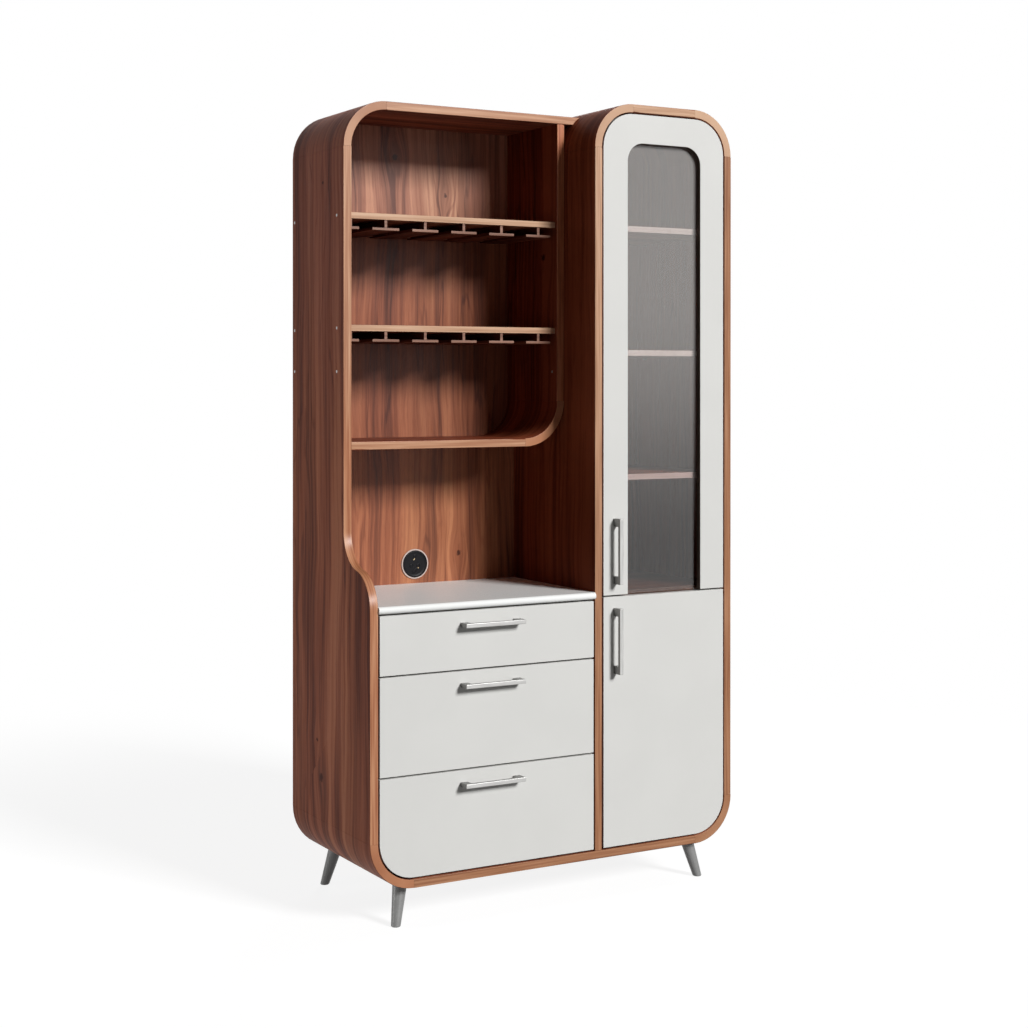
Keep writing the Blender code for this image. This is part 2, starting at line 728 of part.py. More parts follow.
def make_upper_door():
    """An inverted-U frame with a pane in a rebate at its back."""
    carrier = add_carrier("upper_door_hinge_axis", (HINGE_X, HINGE_Y, UPPER_DOOR_LOW))
    outer = rounded(
        (DOOR_LEFT, UPPER_DOOR_LOW),
        (DOOR_RIGHT, UPPER_DOOR_HIGH),
        top_right=DOOR_RADIUS,
        top_left=DOOR_RADIUS,
    )
    window = window_outline(0.0, UPPER_DOOR_LOW)
    outline = outer[1:] + outer[:1] + window[:1] + list(reversed(window[1:]))
    frame = prism("upper_door_frame", "Y", outline, FRONT, FRONT_BACK, "white_lacquer", carrier)
    smooth_rounds(frame)
    rebate_face = FRONT_BACK - REBATE_DEPTH
    cutter = prism(
        "glass_rebate_cutter",
        "Y",
        window_outline(REBATE_WIDTH, UPPER_DOOR_LOW - CUT_MARGIN),
        rebate_face,
        FRONT_BACK + CUT_MARGIN,
    )
    apply_boolean(frame, cutter, "DIFFERENCE")
    pane = prism(
        "upper_door_glass",
        "Y",
        window_outline(REBATE_WIDTH - SEAT_GAP, UPPER_DOOR_LOW),
        rebate_face + SEAT_GAP,
        rebate_face + SEAT_GAP + GLASS_THICKNESS,
        "smoked_glass",
        carrier,
    )
    smooth_rounds(pane)

    tops = tower_shelf_tops()
    floor = DOOR_SPLIT + BOARD / 2
    straight_end = HEIGHT - CORNER_RADIUS
    heights = (
        (floor + tops[0] - SHELF_BOARD) / 2,
        (tops[0] + tops[1] - SHELF_BOARD) / 2,
        (tops[-1] + straight_end) / 2,
    )
    bore_for_cups(frame, heights)
    for index, z in enumerate(heights):
        make_hinge(f"upper_hinge_{index + 1}", z, carrier)
    centre = (DOOR_LEFT + HANDLE_EDGE, UPPER_DOOR_LOW + HANDLE_END + HANDLE_LENGTH / 2)
    make_handle("upper_door_handle", centre, "Z", carrier)


def make_lower_door():
    carrier = add_carrier("lower_door_hinge_axis", (HINGE_X, HINGE_Y, LOWER_DOOR_LOW))
    low, high = (DOOR_LEFT, LOWER_DOOR_LOW), (DOOR_RIGHT, LOWER_DOOR_HIGH)
    outline = rounded(low, high, bottom_right=DOOR_RADIUS)
    door = prism("lower_door_panel", "Y", outline, FRONT, FRONT_BACK, "white_lacquer", carrier)
    smooth_rounds(door)
    heights = (BASE + CORNER_RADIUS + LOWER_HINGE_RISE, LOWER_DOOR_HIGH - LOWER_HINGE_DROP)
    bore_for_cups(door, heights)
    for index, z in enumerate(heights):
        make_hinge(f"lower_hinge_{index + 1}", z, carrier)
    centre = (DOOR_LEFT + HANDLE_EDGE, LOWER_DOOR_HIGH - HANDLE_END - HANDLE_LENGTH / 2)
    make_handle("lower_door_handle", centre, "Z", carrier)


# Legs


def make_legs():
    """Splayed tapered legs, scribed at the top to the underside and its bent corners."""
    skin = SEAT_GAP
    outline = rounded(
        (LEFT - skin, BASE - skin),
        (RIGHT + skin, BASE + CORNER_RADIUS + CUT_MARGIN),
        bottom_left=CORNER_RADIUS + skin,
        bottom_right=CORNER_RADIUS + skin,
    )
    underside = prism("underside_cutter", "Y", outline, FRONT - CUT_MARGIN, BACK + CUT_MARGIN)
    high = LEG_HEIGHT + LEG_RUN_UP
    for side_x, x in ((-1, LEFT + LEG_INSET_X), (1, RIGHT - LEG_INSET_X)):
        for side_y, y in ((-1, FRONT + LEG_INSET_FRONT), (1, BACK - LEG_INSET_BACK)):
            rings = []
            bm = bmesh.new()
            chamfer = LEG_FOOT_CHAMFER
            for z, trim in ((0.0, chamfer), (chamfer, 0.0), (high, 0.0)):
                share = z / LEG_HEIGHT
                radius = LEG_FOOT_RADIUS + (LEG_TOP_RADIUS - LEG_FOOT_RADIUS) * share - trim
                shift = LEG_SPLAY * share
                ring = []
                for step in range(ROUND_STEPS):
                    angle = 2 * math.pi * step / ROUND_STEPS
                    point_x = x - side_x * shift + radius * math.cos(angle)
                    point_y = y - side_y * shift + radius * math.sin(angle)
                    ring.append(bm.verts.new((point_x, point_y, z)))
                rings.append(ring)
            for near, far in zip(rings, rings[1:]):
                for step in range(ROUND_STEPS):
                    after = (step + 1) % ROUND_STEPS
                    bm.faces.new((near[step], near[after], far[after], far[step]))
            bm.faces.new(rings[0])
            bm.faces.new(rings[-1])
            name = f"leg_{'front' if side_y < 0 else 'back'}_{'left' if side_x < 0 else 'right'}"
            leg = add_mesh(name, bm, "brushed_metal")
            smooth_rounds(leg)
            apply_boolean(leg, underside, "DIFFERENCE")


def main():
    clear_scene()
    make_left_side()
    make_shell()
    make_hutch()
    make_socket(make_backs())
    make_worktop()
    make_hutch_shelves()
    make_tower_shelves()
    make_drawers()
    make_upper_door()
    make_lower_door()
    make_legs()


main()
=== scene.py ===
"""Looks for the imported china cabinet: materials, small hardware, studio light and camera."""

import math
from operator import mul

import bmesh
import bpy
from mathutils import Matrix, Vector


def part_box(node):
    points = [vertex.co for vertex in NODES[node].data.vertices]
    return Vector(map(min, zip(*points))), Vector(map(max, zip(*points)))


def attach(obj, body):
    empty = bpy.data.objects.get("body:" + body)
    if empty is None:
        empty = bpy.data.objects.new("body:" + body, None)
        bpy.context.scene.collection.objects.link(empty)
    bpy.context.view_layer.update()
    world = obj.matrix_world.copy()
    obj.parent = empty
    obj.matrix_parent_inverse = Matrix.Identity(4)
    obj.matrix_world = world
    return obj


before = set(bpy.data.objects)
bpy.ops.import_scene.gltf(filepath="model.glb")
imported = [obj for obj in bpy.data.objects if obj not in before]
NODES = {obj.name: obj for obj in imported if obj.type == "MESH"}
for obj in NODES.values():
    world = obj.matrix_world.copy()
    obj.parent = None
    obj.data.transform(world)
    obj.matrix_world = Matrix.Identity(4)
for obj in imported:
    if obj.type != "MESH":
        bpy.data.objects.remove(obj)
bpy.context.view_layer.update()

# The cabinet's axes: x to its right, y to its back and z up, in metres
X_AXIS, Y_AXIS, Z_AXIS = range(3)
LEFTWARD = (-1, 0, 0)
RIGHTWARD = (1, 0, 0)
FORWARD = (0, -1, 0)
BACKWARD = (0, 1, 0)

# Upright board: the seed of its grain and its edge band
UPRIGHT_BOARDS = {
    "left_side_panel": (0.62, "left_upright"),
    "right_side_panel": (0.31, "brown_upright"),
    "tower_partition": (1.55, "fading_upright"),
    "hutch_right_panel": (1.24, "painted_shade_red_upright"),
}
OUTER_ON_RIGHT = ("right_side_panel", "hutch_right_panel")
# Bent corner: the upright it continues, the way in x and z to the centre of its bend, its edge band
BENT_CORNERS = {
    "bottom_left_corner": ("left_side_panel", 1, 1, "orange_bend"),
    "bottom_right_corner": ("right_side_panel", -1, 1, "brown_bend"),
    "tower_top_right_corner": ("right_side_panel", -1, -1, "sand_bend"),
    "tower_top_left_corner": ("tower_partition", 1, -1, "sand_bend"),
    "hutch_top_left_corner": ("left_side_panel", 1, -1, "honey_bend"),
    "hutch_lower_corner": ("hutch_right_panel", -1, 1, "orange_bend"),
}
# Level board and its edge band
LEVEL_BOARDS = {
    "bottom_panel": "brown_level",
    "tower_top_panel": "sand_level",
    "hutch_top_panel": "honey_level",
    "hutch_floor": "honey_level",
}
# Boards whose veneer is darker and redder: painted shade, for the shade these boards stand in
PAINTED_SHADE_BOARDS = (
    "tower_partition",
    "tower_top_left_corner",
    "hutch_right_panel",
    "hutch_lower_corner",
    "hutch_floor",
)
HUTCH_SHELVES = ("hutch_shelf_lower", "hutch_shelf_upper")
TOWER_SHELVES = ("tower_shelf_1", "tower_shelf_2", "tower_shelf_3")
RACKS = ("stemware_rack_lower", "stemware_rack_upper")
HUTCH_BACK, TOWER_BACK = "back_panel_left", "back_panel_tower"
DRAWERS = ("drawer_top", "drawer_middle", "drawer_bottom")
# Door and its hinges
HINGES = {
    "upper_door": ("upper_hinge_1", "upper_hinge_2", "upper_hinge_3"),
    "lower_door": ("lower_hinge_1", "lower_hinge_2"),
}
ALL_HINGES = tuple(hinge for hinges in HINGES.values() for hinge in hinges)
DOORS = tuple(HINGES)
WHITE_FRONTS = tuple(f"{name}_front" for name in DRAWERS) + ("upper_door_frame", "lower_door_panel")
RUNNERS = tuple(f"{name}_runner_{side}" for name in DRAWERS for side in ("left", "right"))
LEGS = ("leg_front_left", "leg_front_right", "leg_back_left", "leg_back_right")


def centre_of(node):
    low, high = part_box(node)
    return (low + high) / 2


def ends(node, axis):
    """The two planes in which a board ends along an axis."""
    low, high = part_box(node)
    return ((axis, low[axis]), (axis, high[axis]))


# Shader nodes

# The range that most of a noise lies in, and its middle
NOISE_LOW, NOISE_MIDDLE, NOISE_HIGH = 0.3, 0.5, 0.7
# A Mix node's sockets for colours, which share their names with those for other values
MIX_SHARE, MIX_FIRST, MIX_SECOND = 0, 6, 7
MIX_RESULT = 2
WHITE = (1.0, 1.0, 1.0)


def opaque(colour):
    return (*colour, 1.0)


def darker(colour, share):
    return tuple(part * share for part in colour)


class Shader:
    """A Principled material with short calls for the nodes used here."""

    def __init__(self, name, roughness=0.5, metallic=0.0, specular=0.5):
        self.material = bpy.data.materials.new(name)
        self.material.use_nodes = True
        self.tree = self.material.node_tree
        self.main = self.tree.nodes["Principled BSDF"]
        self.set("Roughness", roughness)
        self.set("Metallic", metallic)
        self.set("Specular IOR Level", specular)

    def node(self, kind, **settings):
        made = self.tree.nodes.new(kind)
        for key, value in settings.items():
            setattr(made, key, value)
        return made

    def feed(self, socket, value):
        """Links a socket, or sets a constant."""
        if isinstance(value, bpy.types.NodeSocket):
            self.tree.links.new(value, socket)
        else:
            socket.default_value = value

    def set(self, name, value):
        self.feed(self.main.inputs[name], value)

    def math(self, operation, *values):
        made = self.node("ShaderNodeMath", operation=operation)
        for socket, value in zip(made.inputs, values):
            self.feed(socket, value)
        return made.outputs[0]

    def total(self, *values):
        result = values[0]
        for value in values[1:]:
            result = self.math("ADD", result, value)
        return result

    def scaled(self, value, factor):
        return self.math("MULTIPLY", value, factor)

    def swing(self, noise, weight):
        """A noise as a swing about zero."""
        return self.scaled(self.math("SUBTRACT", noise, NOISE_MIDDLE), weight)

    def split(self, vector):
        made = self.node("ShaderNodeSeparateXYZ")
        self.feed(made.inputs[0], vector)
        return {axis: made.outputs[axis] for axis in "XYZ"}

    def join(self, x, y, z):
        made = self.node("ShaderNodeCombineXYZ")
        for socket, value in zip(made.inputs, (x, y, z)):
            self.feed(socket, value)
        return made.outputs[0]

    def place(self):
        """Object coordinates, which are the cabinet's own metres."""
        return self.node("ShaderNodeTexCoord").outputs["Object"]

    def height(self):
        return self.split(self.place())["Z"]

    def facing(self, axis):
        """How squarely the surface faces along an axis, whichever way."""
        normal = self.split(self.node("ShaderNodeTexCoord").outputs["Normal"])
        return self.math("ABSOLUTE", normal[axis])

    def reach(self, first, second):
        """Length of a vector given by two parts."""
        squares = self.math("MULTIPLY_ADD", first, first, self.scaled(second, second))
        return self.math("SQRT", squares)

    def noise(self, vector, scale=1.0, detail=2.0):
        made = self.node("ShaderNodeTexNoise")
        self.feed(made.inputs["Vector"], vector)
        made.inputs["Scale"].default_value = scale
        made.inputs["Detail"].default_value = detail
        return made.outputs[0]

    def lines(self, along, fine, long):
        """Noise drawn out along the named axes, with its cells to a metre across and along them."""
        place = self.split(self.place())
        parts = [self.scaled(place[axis], long if axis in along else fine) for axis in "XYZ"]
        return self.noise(self.join(*parts), detail=3.0)

    def span(self, value, low, high, to_low=0.0, to_high=1.0):
        """Maps a range to another with soft ends."""
        made = self.node("ShaderNodeMapRange", interpolation_type="SMOOTHSTEP")
        for socket, part in zip(made.inputs, (value, low, high, to_low, to_high)):
            self.feed(socket, part)
        return made.outputs[0]

    def spread(self, noise, to_low=0.0, to_high=1.0):
        """Maps most of a noise to a range."""
        return self.span(noise, NOISE_LOW, NOISE_HIGH, to_low, to_high)

    def ramp(self, value, stops):
        made = self.node("ShaderNodeValToRGB")
        elements = made.color_ramp.elements
        while len(elements) < len(stops):
            elements.new(0.5)
        for element, (place, colour) in zip(elements, stops):
            element.position = place
            element.color = opaque(colour)
        self.feed(made.inputs[0], value)
        return made.outputs[0]

    def blend(self, share, first, second, way="MIX"):
        made = self.node("ShaderNodeMix", data_type="RGBA", blend_type=way)
        self.feed(made.inputs[MIX_SHARE], share)
        for index, value in ((MIX_FIRST, first), (MIX_SECOND, second)):
            linked = isinstance(value, bpy.types.NodeSocket)
            self.feed(made.inputs[index], value if linked else opaque(value))
        return made.outputs[MIX_RESULT]

    def bump(self, height, distance, strength):
        made = self.node("ShaderNodeBump")
        made.inputs["Strength"].default_value = strength
        made.inputs["Distance"].default_value = distance
        self.feed(made.inputs["Height"], height)
        self.set("Normal", made.outputs[0])

    def emission(self, strength):
        """White light from the surface."""
        made = self.node("ShaderNodeEmission")
        made.inputs["Color"].default_value = opaque(WHITE)
        self.feed(made.inputs["Strength"], strength)
        return made.outputs[0]


def end_in_mix(tree, output, share, first, second):
    """Ends a material's or a world's nodes in a mix of two shaders."""
    mix = tree.nodes.new("ShaderNodeMixShader")
    for socket, source in zip(mix.inputs, (share, first, second)):
        tree.links.new(source, socket)
    tree.links.new(mix.outputs[0], tree.nodes[output].inputs[0])


# Wood

TONE_PLACES = (0.36, 0.50, 0.64)


def tones(dark, middle, light):
    """The stops of a colour ramp."""
    return tuple(zip(TONE_PLACES, (dark, middle, light)))


def tinted(palette, *shares):
    """The same palette with a share of its red, green and blue."""
    return tuple(
        tuple((place, tuple(map(mul, colour, shares))) for place, colour in stops)
        for stops in palette
    )


# Veneers, each as its reddish and its golden streaks
WALNUT = (
    tones((0.112, 0.032, 0.020), (0.290, 0.093, 0.053), (0.450, 0.168, 0.096)),
    tones((0.138, 0.044, 0.025), (0.322, 0.113, 0.061), (0.480, 0.206, 0.115)),
)
# Darker, redder walnut for the boards in shade: painted shade
PAINTED_SHADE_WALNUT = tinted(WALNUT, 0.66, 0.44, 0.34)
BACK_WALNUT = tinted(WALNUT, 1.00, 1.00, 0.84)
SHELF_WALNUT = tinted(WALNUT, 0.80, 0.80, 0.80)
RACK_WALNUT = tinted(WALNUT, 0.50, 0.45, 0.45)
# Very dark walnut for the tower's divider: painted shade
PAINTED_SHADE_DIVIDER_WALNUT = tinted(WALNUT, 0.32, 0.30, 0.30)
BIRCH = (tones((0.330, 0.210, 0.120), (0.450, 0.310, 0.190), (0.560, 0.410, 0.270)),) * 2
# Edge bands
SAND_BAND = tones((0.446, 0.245, 0.144), (0.542, 0.319, 0.197), (0.612, 0.385, 0.245))
HONEY_BAND = tones((0.394, 0.175, 0.092), (0.490, 0.245, 0.136), (0.569, 0.315, 0.188))
# Redder band for the hutch's right panel, which stands in shadow: painted shade
PAINTED_SHADE_RED_BAND = tones((0.368, 0.109, 0.046), (0.481, 0.162, 0.070), (0.560, 0.223, 0.109))
ORANGE_BAND = tones((0.341, 0.122, 0.054), (0.446, 0.188, 0.092), (0.525, 0.254, 0.136))
BROWN_BAND = tones((0.254, 0.096, 0.041), (0.341, 0.149, 0.070), (0.420, 0.201, 0.105))
RAIL_BAND = tones((0.184, 0.083, 0.054), (0.245, 0.120, 0.080), (0.306, 0.157, 0.107))
# Very dark band for the tower's divider: painted shade
PAINTED_SHADE_DARK_BAND = tones((0.045, 0.018, 0.010), (0.065, 0.027, 0.016), (0.090, 0.040, 0.024))
ROSE_BAND = tones((0.530, 0.390, 0.375), (0.590, 0.440, 0.425), (0.630, 0.480, 0.465))
PALE_BAND = tones((0.700, 0.600, 0.590), (0.780, 0.680, 0.670), (0.830, 0.740, 0.730))


def plain_grain(across, depth, along):
    """Grain that runs straight along one of the cabinet's axes."""

    def coordinates(shader):
        place = shader.split(shader.place())
        return place[across], place[depth], place[along]

    return coordinates


def upright_grain(outer_x):
    """Grain up a side board, with depth counted from its outer face."""

    def coordinates(shader):
        place = shader.split(shader.place())
        depth = shader.math("ABSOLUTE", shader.math("SUBTRACT", place["X"], outer_x))
        return place["Y"], depth, place["Z"]

    return coordinates


def bent_grain(centre_x, centre_z, side_x, side_z, radius):
    """Grain that carries on from an upright board round a bend."""

    def coordinates(shader):
        place = shader.split(shader.place())
        across = shader.scaled(shader.math("SUBTRACT", place["X"], centre_x), -side_x)
        up = shader.scaled(shader.math("SUBTRACT", place["Z"], centre_z), -side_z)
        depth = shader.math("SUBTRACT", radius, shader.reach(across, up))
        turn = shader.math("ARCTAN2", up, across)
        return place["Y"], depth, shader.math("MULTIPLY_ADD", turn, -side_z * radius, centre_z)

    return coordinates


def box_grain(shader):
    """Grain along the length of each wall of a drawer box."""
    place = shader.split(shader.place())
    end_wall = shader.span(shader.facing("Y"), 0.4, 0.6)
    side_across = shader.total(place["X"], place["Z"])
    across = shader.blend(end_wall, side_across, place["Z"])
    along = shader.blend(end_wall, place["Y"], place["X"])
    return across, 0.0, along


# Knots lie in the cells of a loose grid: cells to a metre, and how far a seed moves the grid
KNOTS_ACROSS, KNOTS_ALONG = 6.0, 3.0
KNOT_SEED_ACROSS, KNOT_SEED_ALONG = 7.0, 13.0
KNOT_CHANCE_STEP = 0.02
KNOT_SIZES = (0.6, 1.4)
# How strongly the grain is drawn round a knot, and where that ends, in cells from its middle
KNOT_PULL = 0.75
KNOT_PULL_RANGE = (0.03, 0.30)
# Where the dark core of a knot ends, in metres, and how ragged its edge is
KNOT_CORE_RANGE = (0.002, 0.009)
KNOT_RAGGED = 0.014
KNOT_RAGGED_SCALE = 110.0


def knots(shader, across, along, seed, share, shift):
    """The grain's way round the knots in a share of the cells, and their dark cores."""
    start_across = seed * KNOT_SEED_ACROSS - shift * KNOTS_ACROSS
    start_along = seed * KNOT_SEED_ALONG
    here = shader.math("MULTIPLY_ADD", across, KNOTS_ACROSS, start_across)
    there = shader.math("MULTIPLY_ADD", along, KNOTS_ALONG, start_along)
    cells = shader.node("ShaderNodeTexVoronoi", voronoi_dimensions="2D")
    cells.inputs["Scale"].default_value = 1.0
    shader.feed(cells.inputs["Vector"], shader.join(here, there, 0.0))
    chance = shader.split(cells.outputs["Color"])
    kept = shader.span(chance["X"], 1.0 - share, 1.0 - share + KNOT_CHANCE_STEP)
    size = shader.span(chance["Y"], 0.0, 1.0, *KNOT_SIZES)
    near = shader.math("DIVIDE", cells.outputs["Distance"], size)
    pull = shader.scaled(kept, shader.span(near, *KNOT_PULL_RANGE, KNOT_PULL, 0.0))
    centre = shader.split(cells.outputs["Position"])
    away = shader.scaled(shader.math("SUBTRACT", centre["X"], here), 1.0 / KNOTS_ACROSS)
    rise = shader.scaled(shader.math("SUBTRACT", centre["Y"], there), 1.0 / KNOTS_ALONG)
    around = shader.math("MULTIPLY_ADD", away, pull, across)
    ragged = shader.swing(shader.noise(shader.place(), scale=KNOT_RAGGED_SCALE), KNOT_RAGGED)
    spot = shader.math("DIVIDE", shader.reach(away, rise), size)
    edge = shader.math("ADD", ragged, spot)
    core = shader.scaled(kept, shader.span(edge, *KNOT_CORE_RANGE, 1.0, 0.0))
    return around, core


# Patterns of the grain: cells to a metre across and along it, and detail
SWAY_GRAIN = (4.0, 2.0, 2.0)
FIBRE_GRAIN = (420.0, 9.0, 2.0)
PORE_GRAIN = (950.0, 30.0, 1.0)
RING_GRAIN = (16.0, 1.6, 3.0)
RING_PATCHES = (7.0, 1.1, 1.0)
GOLDEN_GRAIN = (6.5, 0.4, 1.0)
# Streaks from wide to narrow, each with its weight in the tone
STREAKS = (((8.0, 0.5, 1.5), 0.52), ((28.0, 0.9, 2.0), 0.50), ((95.0, 2.0, 2.0), 0.40))
FIBRE_WEIGHT = 0.16
RING_WEIGHT = -0.08
CORE_WEIGHT = -0.20
# How far the grain sways, in metres
SWAY_WIDTH = 0.06
# Where a pattern sets in
PORE_RANGE = (0.60, 0.74)
RING_RANGE = (0.003, 0.020)
PATCH_RANGE = (0.45, 0.60)
GOLDEN_RANGE = (0.42, 0.60)
# The most that a pattern covers
GOLDEN_SHARE = 0.60
PORE_SHARE = 0.35
CORE_SHARE = 0.75
CORE_DARKNESS = 0.4


def wood(
    name,
    coordinates,
    palette,
    seed=0.0,
    specular=0.03,
    gloss=(0.42, 0.55),
    knot_share=0.35,
    knot_shift=0.0,
    painted_shading=(),
):
    """Veneer with wide soft streaks, thin dark growth lines and a few knots.

    Each entry of painted_shading gives two heights, and what the red, green and blue are multiplied
    by past the second: painted shade where below 1, a painted sheen where above.
    """
    shader = Shader(name, specular=specular)
    across, depth, along = coordinates(shader)
    depth = shader.math("ADD", depth, seed)
    across, core = knots(shader, across, along, seed, knot_share, knot_shift)
    sway = 0.0

    def grain(fine, long, detail):
        vector = shader.join(
            shader.scaled(shader.math("ADD", across, sway), fine),
            shader.scaled(depth, fine),
            shader.scaled(along, long),
        )
        return shader.noise(vector, detail=detail)

    sway = shader.swing(grain(*SWAY_GRAIN), SWAY_WIDTH)
    fibre = grain(*FIBRE_GRAIN)
    pore = shader.span(grain(*PORE_GRAIN), *PORE_RANGE)
    contour = shader.math("ABSOLUTE", shader.swing(grain(*RING_GRAIN), 1.0))
    patches = shader.span(grain(*RING_PATCHES), *PATCH_RANGE)
    ring = shader.scaled(shader.span(contour, *RING_RANGE, 1.0, 0.0), patches)
    tone = shader.total(
        NOISE_MIDDLE,
        *(shader.swing(grain(*pattern), weight) for pattern, weight in STREAKS),
        shader.swing(fibre, FIBRE_WEIGHT),
        shader.scaled(ring, RING_WEIGHT),
        shader.scaled(core, CORE_WEIGHT),
    )
    reddish, golden = (shader.ramp(tone, stops) for stops in palette)
    golden_share = shader.span(grain(*GOLDEN_GRAIN), *GOLDEN_RANGE, 0.0, GOLDEN_SHARE)
    colour = shader.blend(golden_share, reddish, golden)
    darkest = palette[0][0][1]
    colour = shader.blend(shader.scaled(pore, PORE_SHARE), colour, darkest)
    colour = shader.blend(shader.scaled(core, CORE_SHARE), colour, darker(darkest, CORE_DARKNESS))
    # Painted shade and sheen by height
    for start, end, shares in painted_shading:
        past = shader.span(shader.height(), start, end)
        colour = shader.blend(past, colour, shares, "MULTIPLY")
    shader.set("Base Color", colour)
    shader.set("Roughness", shader.spread(fibre, *gloss))
    shader.bump(shader.math("SUBTRACT", fibre, pore), distance=0.0002, strength=0.3)
    return shader.material


def edge_band(name, along, low_tones, high_tones=None, heights=None):
    """Solid edge band with fine lines along it. Its tones may change between two heights."""
    shader = Shader(name, specular=0.35)
    shade = shader.lines(along, fine=210.0, long=5.0)
    colour = shader.ramp(shade, low_tones)
    if high_tones:
        share = shader.span(shader.height(), *heights)
        colour = shader.blend(share, colour, shader.ramp(shade, high_tones))
    shader.set("Base Color", colour)
    shader.set("Roughness", shader.spread(shade, 0.31, 0.41))
    shader.bump(shade, distance=0.0001, strength=0.2)
    return shader.material


# Other finishes

LACQUER_WHITE = (0.700, 0.696, 0.672)
# The worktop's white is lighter than the fronts': painted light, for the light on its top
PAINTED_LIGHT_WORKTOP_WHITE = (0.915, 0.925, 0.910)
NICKEL = (0.56, 0.555, 0.54)
LEG_GREY = (0.27, 0.27, 0.266)
STEEL_GREY = (0.50, 0.50, 0.49)
CAP_GREY = (0.36, 0.35, 0.34)
BRASS = (0.80, 0.62, 0.36)
LINING_BROWN = (0.150, 0.108, 0.088)
INSERT_BLACK = (0.012, 0.012, 0.014)
SOCKET_BLACKS = ((0.006, 0.006, 0.007), (0.014, 0.014, 0.016))
SOCKET_RIM = (0.58, 0.48, 0.44)
# The pane's own tint, and that of the light of lamps and walls that passes it
GLASS_TINT = (0.78, 0.75, 0.725)
PASSING_TINT = (0.878, 0.862, 0.848)
GLASS_IOR = 1.57
# The pane's grey haze, a painted reflection, thickens from the first height to the second, where
# this share still passes
PAINTED_REFLECTION_HEIGHTS = (0.80, 1.50)
VEIL_PASSES = 0.85
PLASTIC_GRAIN = 900.0


def lacquer(name, colour, roughness, specular=0.25):
    """Sprayed white lacquer with a faint orange peel."""
    shader = Shader(name, specular=specular)
    cloud = shader.noise(shader.place(), scale=6.0, detail=3.0)
    peel = shader.noise(shader.place(), scale=380.0)
    share = shader.span(cloud, 0.35, 0.65)
    shader.set("Base Color", shader.blend(share, darker(colour, 0.98), colour))
    shader.set("Roughness", shader.spread(peel, roughness - 0.03, roughness + 0.05))
    shader.bump(peel, distance=0.00006, strength=0.25)
    return shader.material


def brushed(name, colour, roughness, along, metallic=1.0, side_shade_share=1.0, specular=0.5):
    """Brushed metal with its lines along one axis.

    Faces that look neither forward nor back can be darker: painted shade, for the dark surroundings
    they would reflect.
    """
    shader = Shader(name, metallic=metallic, specular=specular)
    lines = shader.lines(along, fine=1600.0, long=14.0)
    cloud = shader.noise(shader.place(), scale=30.0)
    shade = shader.total(shader.scaled(lines, 0.7), shader.scaled(cloud, 0.3))
    finish = shader.blend(shader.spread(shade), darker(colour, 0.80), colour)
    # Painted shade on the side faces
    if side_shade_share < 1.0:
        forward = shader.span(shader.facing("Y"), 0.45, 0.85)
        finish = shader.blend(forward, darker(colour, side_shade_share), finish)
    shader.set("Base Color", finish)
    shader.set("Roughness", shader.spread(lines, roughness - 0.06, roughness + 0.08))
    shader.bump(lines, distance=0.00005, strength=0.3)
    return shader.material


def smoked_glass(name):
    """Grey tinted pane with a grey haze that thickens with height: a painted reflection. Lamps pass
    through it.
    """
    shader = Shader(name, roughness=0.02)
    shader.set("Base Color", opaque(GLASS_TINT))
    shader.set("IOR", GLASS_IOR)
    veil = shader.span(shader.height(), *PAINTED_REFLECTION_HEIGHTS, 1.0, VEIL_PASSES)
    shader.set("Transmission Weight", veil)
    path = shader.node("ShaderNodeLightPath")
    clear = shader.node("ShaderNodeBsdfTransparent")
    clear.inputs[0].default_value = opaque(PASSING_TINT)
    passing = shader.math("MAXIMUM", path.outputs["Is Shadow Ray"], path.outputs["Is Diffuse Ray"])
    end_in_mix(shader.tree, "Material Output", passing, shader.main.outputs[0], clear.outputs[0])
    return shader.material


def grained(shader, grain, low, high):
    """A plastic's roughness and fine bump."""
    shader.set("Roughness", shader.spread(grain, low, high))
    shader.bump(grain, distance=0.00005, strength=0.3)


def moulded(name, colour, roughness, specular):
    """Plain moulded plastic or rubber with a fine grain."""
    shader = Shader(name, specular=specular)
    grain = shader.noise(shader.place(), scale=PLASTIC_GRAIN)
    shader.set("Base Color", shader.blend(grain, darker(colour, 0.75), colour))
    grained(shader, grain, roughness - 0.05, roughness + 0.08)
    return shader.material


def socket_plastic(name, centre, rim_start):
    """Black plastic with a pale rim round it."""
    shader = Shader(name, specular=0.1)
    place = shader.split(shader.place())
    x = shader.math("SUBTRACT", place["X"], centre.x)
    z = shader.math("SUBTRACT", place["Z"], centre.z)
    rim = shader.span(shader.reach(x, z), rim_start - 0.0004, rim_start + 0.0002)
    grain = shader.noise(shader.place(), scale=PLASTIC_GRAIN)
    black = shader.blend(grain, *SOCKET_BLACKS)
    shader.set("Base Color", shader.blend(rim, black, SOCKET_RIM))
    grained(shader, grain, 0.36, 0.48)
    return shader.material


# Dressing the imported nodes

# A face looks along an axis where more than this of its normal is on it
LOOKS_ALONG = 0.7
# Edges that turn by more than this are rounded, unless they lie this close to a joint's plane
SHARP_TURN = math.radians(35)
JOINT_TOLERANCE = 0.0002
WELD_DISTANCE = 0.00001
POINT_DIGITS = 5
# Widths of rounded edges
BOARD_ROUND = 0.0022
HUTCH_SHELF_ROUND = 0.0016
TOWER_SHELF_ROUND = 0.0012
FRONT_ROUND = 0.0012
HANDLE_ROUND = 0.0012
WORKTOP_ROUND = 0.0010
BOX_ROUND = 0.0010
STEEL_ROUND = 0.0008
RACK_ROUND = 0.0006
LEG_ROUND = 0.0006
SOCKET_ROUND = 0.0005
CUP_ROUND = 0.0004
# Steps of a rounded edge
PLAIN_STEPS, FINE_STEPS = 2, 3


